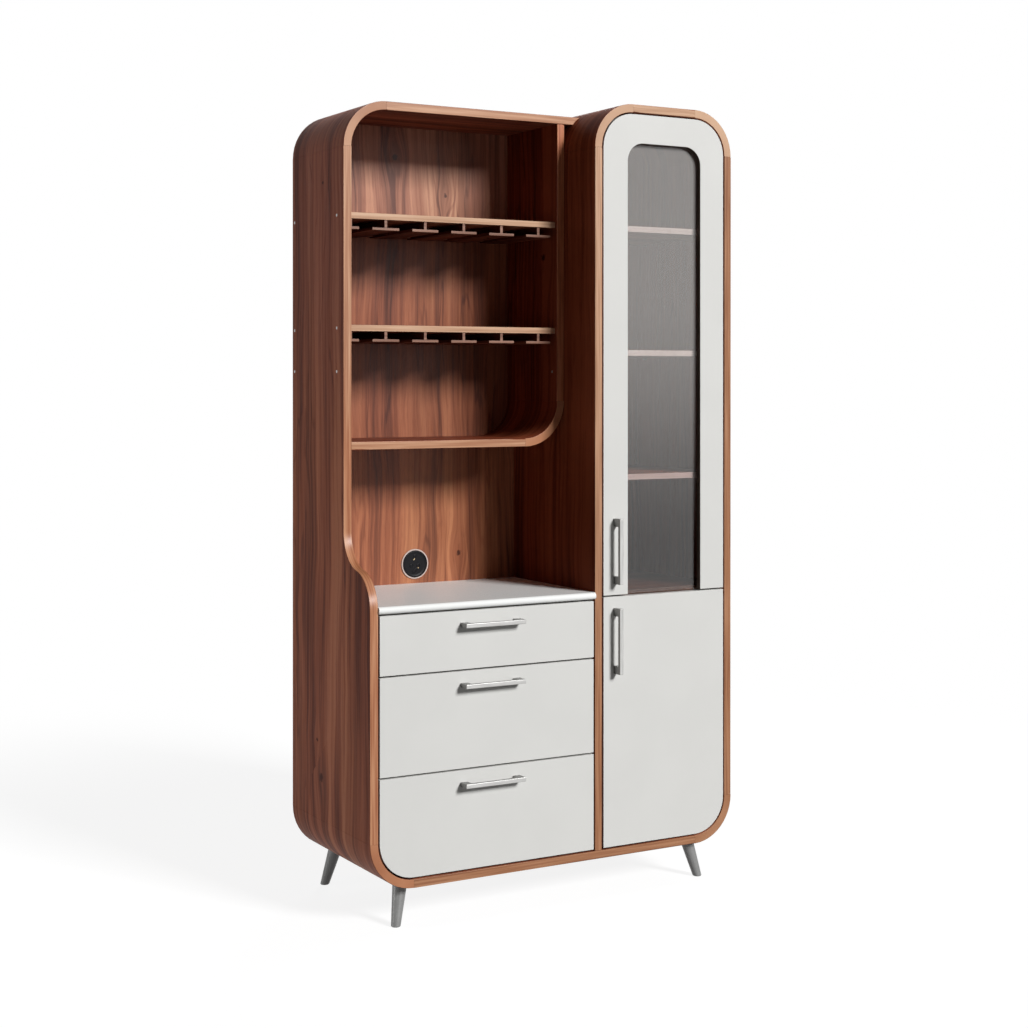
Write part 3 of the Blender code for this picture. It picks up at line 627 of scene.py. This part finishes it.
def paint(node, *materials):
    mesh = NODES[node].data
    mesh.materials.clear()
    for material in materials:
        mesh.materials.append(material)


def band_edges(node, axis, on_axis):
    """Gives the second material to the faces that look along an axis, or else to all others."""
    for polygon in NODES[node].data.polygons:
        polygon.material_index = int((abs(polygon.normal[axis]) > LOOKS_ALONG) == on_axis)


def in_joint(points, planes):
    """Tells whether all points lie in one of the planes, given as axis and place."""
    return any(
        all(abs(point[axis] - place) < JOINT_TOLERANCE for point in points)
        for axis, place in planes
    )


def weigh_edges(mesh, planes):
    """Marks the sharp edges for rounding, apart from those in a joint between two boards."""
    points = [tuple(round(part, POINT_DIGITS) for part in vertex.co) for vertex in mesh.vertices]
    normals = {}
    for polygon in mesh.polygons:
        for first, second in polygon.edge_keys:
            key = tuple(sorted((points[first], points[second])))
            normals.setdefault(key, []).append(polygon.normal.copy())
    weights = mesh.attributes.new("bevel_weight_edge", "FLOAT", "EDGE")
    for edge, weight in zip(mesh.edges, weights.data):
        both = [points[index] for index in edge.vertices]
        sides = normals.get(tuple(sorted(both)), [])
        sharp = len(sides) == 2 and sides[0].angle(sides[1], 0.0) > SHARP_TURN
        weight.value = 1.0 if sharp and not in_joint(both, planes) else 0.0
    mesh.shade_smooth()
    for polygon in mesh.polygons:
        polygon.use_smooth = not in_joint([points[index] for index in polygon.vertices], planes)


def soften(node, width, steps=PLAIN_STEPS, planes=()):
    """Rounds a node's edges a little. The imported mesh's points and place stay as they are."""
    obj = NODES[node]
    weigh_edges(obj.data, planes)
    weld = obj.modifiers.new("weld", "WELD")
    weld.merge_threshold = WELD_DISTANCE
    bevel = obj.modifiers.new("bevel", "BEVEL")
    bevel.width = width
    bevel.segments = steps
    bevel.limit_method = "WEIGHT"
    bevel.use_clamp_overlap = True
    normals = obj.modifiers.new("normals", "WEIGHTED_NORMAL")
    normals.keep_sharp = True


# Edge band: the axes its lines run along, its tones, and those it changes to between two heights
BAND_KINDS = {
    # These two bands turn lighter higher up: partly the bands' own tone, partly painted light
    "left_upright": ("YZ", ORANGE_BAND, HONEY_BAND, (1.05, 1.35)),
    "painted_shade_red_upright": ("YZ", PAINTED_SHADE_RED_BAND),
    "brown_upright": ("YZ", BROWN_BAND),
    "fading_upright": ("YZ", BROWN_BAND, SAND_BAND, (0.3, 1.9)),
    "orange_bend": ("XZ", ORANGE_BAND),
    "honey_bend": ("XZ", HONEY_BAND),
    "brown_bend": ("XZ", BROWN_BAND),
    "sand_bend": ("XZ", SAND_BAND),
    "honey_level": ("XY", HONEY_BAND),
    "brown_level": ("XY", BROWN_BAND),
    "sand_level": ("XY", SAND_BAND),
    # The lowest tower shelf's edge is darker and rosier than the upper ones': painted shade
    "pale_level": ("XY", ROSE_BAND, PALE_BAND, (1.05, 1.25)),
    "painted_shade_dark_level": ("XY", PAINTED_SHADE_DARK_BAND),
    "rail_ends": ("XY", RAIL_BAND),
}
BANDS = {name: edge_band(name, *kind) for name, kind in BAND_KINDS.items()}

# Painted shade and sheen, multiplied into a veneer's colour by height. The hutch's back changes
# behind its floor and upper shelf.
HUTCH_FLOOR_LOW, HUTCH_FLOOR_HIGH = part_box("hutch_floor")
UPPER_SHELF_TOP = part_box("hutch_shelf_upper")[1].z
# Height over which the painted sheen of the upper bay sets in
UPPER_BAY_SHEEN_RISE = 0.031
# The left side and its top corner darken towards the top: painted shade
SIDE_PAINTED_SHADE = (1.0, 1.7, (0.92, 0.87, 0.96))
PAINTED_SHADE_AND_SHEEN = {
    "left_side_panel": (SIDE_PAINTED_SHADE,),
    "hutch_top_left_corner": (SIDE_PAINTED_SHADE,),
    # The partition darkens low down, in the niche: painted shade
    "tower_partition": ((1.25, 0.85, (0.57, 0.47, 0.43)),),
    HUTCH_BACK: (
        # The hutch's back darkens above its floor, in the bays: painted shade
        (HUTCH_FLOOR_LOW.z, HUTCH_FLOOR_HIGH.z, (0.81, 0.76, 0.78)),
        # Its upper bay turns paler and greyer: a painted sheen
        (UPPER_SHELF_TOP - UPPER_BAY_SHEEN_RISE, UPPER_SHELF_TOP, (1.52, 2.14, 2.74)),
    ),
}

# Seeds of the grain, and the step from one board of a kind to the next
SEED_STEP = 0.17
RACK_SEED_STEP = 0.23
HUTCH_SHELF_SEED = 0.9
TOWER_SHELF_SEED = 1.7
DIVIDER_SEED = 2.4
TOWER_BACK_SEED = 0.8
HUTCH_BACK_SEED = 2.93
# Moves the knots of the hutch's back sideways, in metres
HUTCH_BACK_SHIFT = 0.201


# Boards in shade get the darker walnut, which is painted shade
def walnut_of(node):
    return PAINTED_SHADE_WALNUT if node in PAINTED_SHADE_BOARDS else WALNUT


def dress_side(node, grain, seed, band):
    veneer = wood(f"{node}_veneer", grain, walnut_of(node), seed, painted_shading=PAINTED_SHADE_AND_SHEEN.get(node, ()))
    paint(node, veneer, BANDS[band])


def dress_upright(node, seed, band):
    low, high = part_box(node)
    dress_side(node, upright_grain(high.x if node in OUTER_ON_RIGHT else low.x), seed, band)
    band_edges(node, X_AXIS, on_axis=False)
    soften(node, BOARD_ROUND, FINE_STEPS, ends(node, Z_AXIS))


def dress_corner(node, side_x, side_z, seed, band):
    low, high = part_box(node)
    centre_x = high.x if side_x > 0 else low.x
    centre_z = high.z if side_z > 0 else low.z
    radius = high.x - low.x
    dress_side(node, bent_grain(centre_x, centre_z, side_x, side_z, radius), seed, band)
    band_edges(node, Y_AXIS, on_axis=True)
    soften(node, BOARD_ROUND, FINE_STEPS, ((X_AXIS, centre_x), (Z_AXIS, centre_z)))


def dress_level(node, palette, band, seed, width):
    grain = plain_grain("Y", "Z", "X")
    paint(node, wood(f"{node}_veneer", grain, palette, seed), BANDS[band])
    band_edges(node, Z_AXIS, on_axis=False)
    soften(node, width, FINE_STEPS, ends(node, X_AXIS))


def dress_boards():
    for node, (seed, band) in UPRIGHT_BOARDS.items():
        dress_upright(node, seed, band)
    for node, (upright, side_x, side_z, band) in BENT_CORNERS.items():
        seed = UPRIGHT_BOARDS[upright][0]
        dress_corner(node, side_x, side_z, seed, band)
    for index, (node, band) in enumerate(LEVEL_BOARDS.items()):
        dress_level(node, walnut_of(node), band, SEED_STEP * index, BOARD_ROUND)


def dress_shelves():
    for index, node in enumerate(HUTCH_SHELVES):
        seed = HUTCH_SHELF_SEED + SEED_STEP * index
        dress_level(node, SHELF_WALNUT, "sand_level", seed, HUTCH_SHELF_ROUND)
    for index, node in enumerate(TOWER_SHELVES):
        seed = TOWER_SHELF_SEED + SEED_STEP * index
        dress_level(node, SHELF_WALNUT, "pale_level", seed, TOWER_SHELF_ROUND)
    dress_level("tower_divider", PAINTED_SHADE_DIVIDER_WALNUT, "painted_shade_dark_level", DIVIDER_SEED, TOWER_SHELF_ROUND)


def dress_backs():
    """Veneers of the back panels. The hutch's painted shade and sheen are on its front face alone.
    """
    grain = plain_grain("X", "Y", "Z")
    hutch_veneers = [
        wood(
            f"{HUTCH_BACK}_{face}",
            grain,
            BACK_WALNUT,
            HUTCH_BACK_SEED,
            specular=0.32,
            gloss=(0.30, 0.36),
            knot_shift=HUTCH_BACK_SHIFT,
            painted_shading=painted_shading,
        )
        for face, painted_shading in (("veneer", PAINTED_SHADE_AND_SHEEN[HUTCH_BACK]), ("rear_veneer", ()))
    ]
    paint(HUTCH_BACK, *hutch_veneers)
    for polygon in NODES[HUTCH_BACK].data.polygons:
        polygon.material_index = 0 if polygon.normal.y < 0.0 else 1
    paint(TOWER_BACK, wood(f"{TOWER_BACK}_veneer", grain, WALNUT, TOWER_BACK_SEED))


def dress_racks():
    grain = plain_grain("X", "Z", "Y")
    for index, node in enumerate(RACKS):
        veneer = wood(f"{node}_veneer", grain, RACK_WALNUT, RACK_SEED_STEP * index)
        paint(node, veneer, BANDS["rail_ends"])
        band_edges(node, Y_AXIS, on_axis=True)
        soften(node, RACK_ROUND)


def dress_drawer_boxes():
    for name in DRAWERS:
        birch = wood(f"{name}_box_birch", box_grain, BIRCH, specular=0.2, knot_share=0.0)
        paint(f"{name}_box", birch)
        soften(f"{name}_box", BOX_ROUND)


def dress_whites():
    white = lacquer("white_lacquer", LACQUER_WHITE, 0.36)
    for node in WHITE_FRONTS:
        paint(node, white)
        soften(node, FRONT_ROUND)
    paint("worktop", lacquer("white_worktop", PAINTED_LIGHT_WORKTOP_WHITE, 0.30, specular=0.05))
    soften("worktop", WORKTOP_ROUND)


STEEL = brushed("plated_steel", STEEL_GREY, 0.30, "Y")


def dress_metal():
    for names, along in ((DRAWERS, "X"), (DOORS, "Z")):
        nickel = brushed(f"brushed_nickel_{along}", NICKEL, 0.34, along, side_shade_share=0.35)
        for name in names:
            paint(f"{name}_handle", nickel)
            soften(f"{name}_handle", HANDLE_ROUND, FINE_STEPS)
    leg_metal = brushed("leg_metal", LEG_GREY, 0.40, "Z", metallic=0.15, specular=0.3)
    for node in LEGS:
        paint(node, leg_metal)
        soften(node, LEG_ROUND)
    for node in RUNNERS:
        paint(node, STEEL)
        soften(node, STEEL_ROUND)
    for name in ALL_HINGES:
        paint(f"{name}_cup", STEEL)
        paint(f"{name}_arm", STEEL)
        soften(f"{name}_cup", CUP_ROUND)
        soften(f"{name}_arm", STEEL_ROUND)


# Radius at which the socket's pale rim starts
SOCKET_RIM_START = 0.0343


def dress_pane_and_socket():
    paint("upper_door_glass", smoked_glass("smoked_glass"))
    centre = centre_of("power_socket")
    paint("power_socket", socket_plastic("socket_plastic", centre, SOCKET_RIM_START))
    soften("power_socket", SOCKET_ROUND)


# Small hardware

# Profiles of turned shapes: radius and height of each ring, from the foot to the middle
CAP = ((0.0036, 0.0), (0.0035, 0.00018), (0.0030, 0.00026), (0.0012, 0.00028))
PIN = ((0.0040, 0.0), (0.0040, 0.0010), (0.0026, 0.0013), (0.0026, 0.0080), (0.0021, 0.0086))
PANE_CLIP = ((0.0080, 0.0), (0.0079, 0.0009), (0.0072, 0.0014), (0.0040, 0.0015))
COLLAR = ((0.0046, 0.0), (0.0044, 0.0009), (0.0034, 0.0012), (0.0029, 0.0003))
CONTACT = ((0.0020, 0.0), (0.0019, 0.0006), (0.0013, 0.0010))
INSERT = (
    (0.0325, 0.0),
    (0.0325, 0.0009),
    (0.0305, 0.0013),
    (0.0292, 0.0008),
    (0.0270, 0.0003),
    (0.0100, 0.0003),
)
# A screw's head for a radius of 1, the first ring of its cross recess, and the cross's shape
SCREW_HEAD = ((1.0, 0.0), (0.97, 0.16), (0.80, 0.34), (0.58, 0.42), (0.50, 0.43), (0.46, 0.12))
SCREW_CROSS = 4
CROSS_WAIST = 0.30
CROSS_SHARPNESS = 6
# Points round a turned shape
PLAIN_POINTS, SCREW_POINTS, INSERT_POINTS = 24, 32, 40


def turned(
    bm, centre, axis, profile, points=PLAIN_POINTS, stretch=(1.0, 1.0), cross_from=None
):
    """Adds a turned shape. From ring cross_from on, its rings follow the outline of a cross."""
    axis = Vector(axis)
    side = axis.orthogonal().normalized()
    other = axis.cross(side)
    rings = []
    for index, (radius, height) in enumerate(profile):
        ring = []
        for step in range(points):
            angle = 2 * math.pi * step / points
            reach = radius
            if cross_from is not None and index >= cross_from:
                arm = abs(math.cos(2 * angle)) ** CROSS_SHARPNESS
                reach *= CROSS_WAIST + (1.0 - CROSS_WAIST) * arm
            point = Vector(centre) + axis * height
            point += side * (math.cos(angle) * reach * stretch[0])
            point += other * (math.sin(angle) * reach * stretch[1])
            ring.append(bm.verts.new(point))
        rings.append(ring)
    join_rings(bm, rings)
    bm.faces.new(rings[-1])
    bm.faces.new(tuple(reversed(rings[0])))


def join_rings(bm, rings):
    """Adds the faces between each ring of points and the next."""
    for lower, upper in zip(rings, rings[1:]):
        for step in range(len(lower)):
            after = (step + 1) % len(lower)
            bm.faces.new((lower[step], lower[after], upper[after], upper[step]))


def screw(bm, centre, axis, radius):
    head = tuple((share * radius, height * radius) for share, height in SCREW_HEAD)
    turned(bm, centre, axis, head, SCREW_POINTS, cross_from=SCREW_CROSS)


def add_piece(name, body, material, bm):
    mesh = bpy.data.meshes.new(name)
    bmesh.ops.recalc_face_normals(bm, faces=bm.faces)
    bm.to_mesh(mesh)
    bm.free()
    mesh.materials.append(material)
    obj = bpy.data.objects.new(name, mesh)
    bpy.context.scene.collection.objects.link(obj)
    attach(obj, body)


# Screw caps on the left side: places of the front and the back cap, and the heights of each pair
CAP_FRONT, CAP_BACK = -0.025, 0.223
CAP_HEIGHTS = ((1.624, 1.625), (1.362, 1.362), (1.261, 1.262))
# The cap inside the hutch, on its right panel
INNER_CAP_PLACE = (-0.039, 1.262)


def add_screw_caps():
    bm = bmesh.new()
    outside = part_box("left_side_panel")[0].x
    for front_height, back_height in CAP_HEIGHTS:
        turned(bm, (outside, CAP_FRONT, front_height), LEFTWARD, CAP)
        turned(bm, (outside, CAP_BACK, back_height), LEFTWARD, CAP)
    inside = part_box("hutch_right_panel")[0].x
    turned(bm, (inside, *INNER_CAP_PLACE), LEFTWARD, CAP)
    cap_metal = brushed("cap_metal", CAP_GREY, 0.35, "Z")
    add_piece("screw_caps", "carcass", cap_metal, bm)


# Shelf pins: from the shelf's front and back edge, and from its underside to the pin's middle
PIN_INSET = 0.04
PIN_DROP = 0.0027


def add_shelf_pins():
    bm = bmesh.new()
    wall_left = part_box("tower_partition")[1].x
    wall_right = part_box("right_side_panel")[0].x
    for node in TOWER_SHELVES:
        low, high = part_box(node)
        z = low.z - PIN_DROP
        for y in (low.y + PIN_INSET, high.y - PIN_INSET):
            turned(bm, (wall_left, y, z), RIGHTWARD, PIN)
            turned(bm, (wall_right, y, z), LEFTWARD, PIN)
    add_piece("shelf_pins", "carcass", STEEL, bm)


# Hinge screws: radius, and the places on the plate, the arm and the cup
HINGE_PLATE_THICKNESS = 0.003
PLATE_SCREW_RADIUS = 0.0034
PLATE_SCREW_FROM_BACK = 0.018
PLATE_SCREW_OFFSETS = (-0.019, 0.019)
ARM_SCREW_RADIUS = 0.0030
ARM_SCREW_FROM_BACK = 0.016
CUP_SCREW_RADIUS = 0.0032
CUP_SCREW_INSET = 0.007


def add_hinge_screws():
    bm = bmesh.new()
    for name in ALL_HINGES:
        low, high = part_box(f"{name}_arm")
        z = centre_of(f"{name}_arm").z
        plate_x = high.x - HINGE_PLATE_THICKNESS
        plate_y = high.y - PLATE_SCREW_FROM_BACK
        for offset in PLATE_SCREW_OFFSETS:
            screw(bm, (plate_x, plate_y, z + offset), LEFTWARD, PLATE_SCREW_RADIUS)
        screw(bm, (low.x, high.y - ARM_SCREW_FROM_BACK, z), LEFTWARD, ARM_SCREW_RADIUS)
    add_piece("hinge_plate_screws", "carcass", STEEL, bm)

    for door, hinges in HINGES.items():
        bm = bmesh.new()
        for name in hinges:
            low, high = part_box(f"{name}_cup")
            x = centre_of(f"{name}_cup").x
            for z in (low.z + CUP_SCREW_INSET, high.z - CUP_SCREW_INSET):
                screw(bm, (x, high.y, z), BACKWARD, CUP_SCREW_RADIUS)
        add_piece(f"{door}_cup_screws", door, STEEL, bm)


# Screws of the back panels: radius, distance to the edges, and shares of the height and the width
BACK_SCREW_RADIUS = 0.0035
BACK_SCREW_INSET = 0.012
BACK_SCREW_HEIGHTS = (0.1, 0.3, 0.5, 0.7, 0.9)
BACK_SCREW_WIDTHS = (0.35, 0.65)


def add_back_screws():
    bm = bmesh.new()
    for node in (HUTCH_BACK, TOWER_BACK):
        low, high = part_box(node)
        size = high - low
        places = [
            (x, low.z + size.z * share)
            for share in BACK_SCREW_HEIGHTS
            for x in (low.x + BACK_SCREW_INSET, high.x - BACK_SCREW_INSET)
        ]
        places += [
            (low.x + size.x * share, z)
            for share in BACK_SCREW_WIDTHS
            for z in (low.z + BACK_SCREW_INSET, high.z - BACK_SCREW_INSET)
        ]
        for x, z in places:
            screw(bm, (x, high.y, z), BACKWARD, BACK_SCREW_RADIUS)
    add_piece("back_panel_screws", "carcass", STEEL, bm)


# The door's window: how far the pane reaches past its edge, and its upper corners
WINDOW_INSET = 0.0077
WINDOW_RADIUS = 0.045
CORNER_STEPS = 12
# The window's lining: its way into the frame and into the window, its front edge and its lip
LINING_OUT, LINING_IN = 0.0003, 0.0005
LINING_SETBACK = 0.0009
LINING_LIP = 0.0004
LINING_PANE_GAP = 0.0001


def window_outline(low, high):
    """The window's edge in x and z, up one side, over the top and down the other."""
    left, right = low.x + WINDOW_INSET, high.x - WINDOW_INSET
    centre_z = high.z - WINDOW_INSET - WINDOW_RADIUS
    quarter = math.pi / 2
    points = [Vector((left, low.z))]
    for centre_x, start in ((left + WINDOW_RADIUS, math.pi), (right - WINDOW_RADIUS, quarter)):
        for step in range(CORNER_STEPS + 1):
            angle = start - quarter * step / CORNER_STEPS
            way = Vector((math.cos(angle), math.sin(angle)))
            points.append(Vector((centre_x, centre_z)) + way * WINDOW_RADIUS)
    points.append(Vector((right, low.z)))
    return points


def add_window_lining():
    low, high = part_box("upper_door_glass")
    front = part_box("upper_door_frame")[0].y + LINING_SETBACK
    back = low.y - LINING_PANE_GAP
    outline = window_outline(low, high)
    last = len(outline) - 1
    bm = bmesh.new()
    rows = []
    for index, point in enumerate(outline):
        before, after = outline[max(index - 1, 0)], outline[min(index + 1, last)]
        way = (after - before).normalized()
        inward = Vector((way.y, -way.x))
        outer, inner = point - inward * LINING_OUT, point + inward * LINING_IN
        corners = ((outer, front), (inner, front + LINING_LIP), (inner, back), (outer, back))
        rows.append([bm.verts.new((place.x, y, place.y)) for place, y in corners])
    join_rings(bm, rows)
    bm.faces.new(rows[0])
    bm.faces.new(tuple(reversed(rows[-1])))
    rubber = moulded("black_rubber", LINING_BROWN, 0.6, specular=0.05)
    add_piece("window_lining", "upper_door", rubber, bm)


# Pane clips: from the pane's edge to their middle, heights, gap to the frame, and their screws
CLIP_OVER = 0.004
CLIP_HEIGHTS = (0.80, 1.12, 1.44, 1.70)
CLIP_GAP = 0.0001
CLIP_SCREW_FOOT = 0.0014
CLIP_SCREW_RADIUS = 0.0028


def add_pane_clips():
    low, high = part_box("upper_door_glass")
    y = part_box("upper_door_frame")[1].y + CLIP_GAP
    places = [(x, z) for x in (low.x - CLIP_OVER, high.x + CLIP_OVER) for z in CLIP_HEIGHTS]
    places.append((centre_of("upper_door_glass").x, high.z + CLIP_OVER))
    bm = bmesh.new()
    for x, z in places:
        turned(bm, (x, y, z), BACKWARD, PANE_CLIP)
        screw(bm, (x, y + CLIP_SCREW_FOOT, z), BACKWARD, CLIP_SCREW_RADIUS)
    add_piece("pane_clips", "upper_door", STEEL, bm)


# The socket's insert: how deep its foot lies, its dish's floor, and in x and z from its middle
# the round holes, the slot and the contacts, the last two with their stretch
INSERT_RECESS = 0.0018
DISH_FLOOR = 0.0003
HOLES = ((0.0, 0.019), (-0.0095, -0.004), (0.0095, -0.004))
SLOT_HOLE = (0.0, -0.017, (2.2, 0.8))
CONTACTS = ((-0.002, 0.0115, (1.8, 0.8)), (0.0095, -0.010, (0.9, 0.9)))


def add_socket_parts():
    """A dished insert with collared holes, and two contacts."""
    centre = centre_of("power_socket")
    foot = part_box("power_socket")[0].y + INSERT_RECESS

    def add(bm, x, z, profile, stretch=(1.0, 1.0)):
        place = (centre.x + x, foot - DISH_FLOOR, centre.z + z)
        turned(bm, place, FORWARD, profile, stretch=stretch)

    bm = bmesh.new()
    turned(bm, (centre.x, foot, centre.z), FORWARD, INSERT, INSERT_POINTS)
    for x, z in HOLES:
        add(bm, x, z, COLLAR)
    x, z, stretch = SLOT_HOLE
    add(bm, x, z, COLLAR, stretch)
    black = moulded("socket_black", INSERT_BLACK, 0.40, specular=0.12)
    add_piece("socket_insert", "carcass", black, bm)

    bm = bmesh.new()
    for x, z, stretch in CONTACTS:
        add(bm, x, z, CONTACT, stretch)
    add_piece("socket_contacts", "carcass", brushed("brass", BRASS, 0.25, "X"), bm)


# Stage

# Strength of the world's light on the object
AMBIENT = 0.025
# Half the floor's width, and the distance at which it turns plain white, from a share of it on
FLOOR_REACH = 30.0
FLOOR_CLEAR = 3.0
FLOOR_CLEAR_START = 0.45
FLOOR_SQUARES = 8
FLOOR_DROP = 0.0005
FLOOR_GREYS = ((0.21, 0.21, 0.21), (0.24, 0.24, 0.24))
FLOOR_GLOW = 0.87
# Lamp: its place, the point it looks at, the length of its side and its watts
LAMPS = {
    "key": ((7.95, -23.76, 13.49), (0.0, 0.0, 1.0), 6.4, 8460.0),
    "left_fill": ((-2.6, 0.65, 0.15), (-0.5, 0.0, 0.45), 1.0, 24.0),
    "back_light": ((2.6, 3.6, 2.6), (0.0, 0.2, 1.0), 1.6, 40.0),
}
CAMERA_PLACE = (-2.2201, -3.8288, 1.2394)
CAMERA_TURN = -0.5234
CAMERA_LENS = 62.69
CAMERA_SENSOR = 36.0
CAMERA_SHIFT = -0.12953


def background_share(tree):
    """1 for what the camera sees directly, in a reflection or through glass."""
    path = tree.nodes.new("ShaderNodeLightPath")
    share = path.outputs["Is Camera Ray"]
    for kind in ("Is Glossy Ray", "Is Transmission Ray"):
        most = tree.nodes.new("ShaderNodeMath")
        most.operation = "MAXIMUM"
        tree.links.new(share, most.inputs[0])
        tree.links.new(path.outputs[kind], most.inputs[1])
        share = most.outputs[0]
    return share


def make_world():
    world = bpy.data.worlds.new("studio")
    world.use_nodes = True
    tree = world.node_tree
    light = tree.nodes["Background"]
    seen = tree.nodes.new("ShaderNodeBackground")
    for background, strength in ((light, AMBIENT), (seen, 1.0)):
        background.inputs["Color"].default_value = opaque(WHITE)
        background.inputs["Strength"].default_value = strength
    share = background_share(tree)
    end_in_mix(tree, "World Output", share, light.outputs[0], seen.outputs[0])
    bpy.context.scene.world = world


def floor_material():
    """Pale grey that keeps the cabinet's shadow, and plain white further out."""
    shader = Shader("pale_floor", roughness=0.9, specular=0.0)
    grain = shader.noise(shader.place(), scale=40.0, detail=3.0)
    shader.set("Base Color", shader.blend(grain, *FLOOR_GREYS))
    seen = background_share(shader.tree)
    lit = shader.node("ShaderNodeAddShader")
    shader.feed(lit.inputs[0], shader.main.outputs[0])
    shader.feed(lit.inputs[1], shader.emission(shader.scaled(seen, FLOOR_GLOW)))
    place = shader.split(shader.place())
    distance = shader.reach(place["X"], place["Y"])
    far = shader.span(distance, FLOOR_CLEAR * FLOOR_CLEAR_START, FLOOR_CLEAR)
    share = shader.scaled(far, seen)
    end_in_mix(shader.tree, "Material Output", share, lit.outputs[0], shader.emission(1.0))
    return shader.material


def make_floor():
    bm = bmesh.new()
    bmesh.ops.create_grid(
        bm, x_segments=FLOOR_SQUARES, y_segments=FLOOR_SQUARES, size=FLOOR_REACH
    )
    mesh = bpy.data.meshes.new("floor")
    bm.to_mesh(mesh)
    bm.free()
    mesh.materials.append(floor_material())
    floor = bpy.data.objects.new("floor", mesh)
    floor.location.z = -FLOOR_DROP
    bpy.context.scene.collection.objects.link(floor)


def make_lamp(name, place, target, size, watts):
    data = bpy.data.lights.new(name, "AREA")
    data.shape = "SQUARE"
    data.size = size
    data.energy = watts
    lamp = bpy.data.objects.new(name, data)
    lamp.location = place
    lamp.rotation_euler = (Vector(target) - Vector(place)).to_track_quat("-Z", "Y").to_euler()
    bpy.context.scene.collection.objects.link(lamp)


def make_camera():
    data = bpy.data.cameras.new("camera")
    data.sensor_width = CAMERA_SENSOR
    data.lens = CAMERA_LENS
    data.shift_y = CAMERA_SHIFT
    camera = bpy.data.objects.new("camera", data)
    camera.location = CAMERA_PLACE
    camera.rotation_euler = (math.pi / 2, 0.0, CAMERA_TURN)
    bpy.context.scene.collection.objects.link(camera)
    bpy.context.scene.camera = camera


def make_stage():
    make_world()
    make_floor()
    for name, settings in LAMPS.items():
        make_lamp(name, *settings)
    bpy.context.scene.view_settings.view_transform = "Standard"


make_camera()
dress_boards()
dress_shelves()
dress_backs()
dress_racks()
dress_drawer_boxes()
dress_whites()
dress_metal()
dress_pane_and_socket()
add_screw_caps()
add_shelf_pins()
add_hinge_screws()
add_back_screws()
add_window_lining()
add_pane_clips()
add_socket_parts()
make_stage()
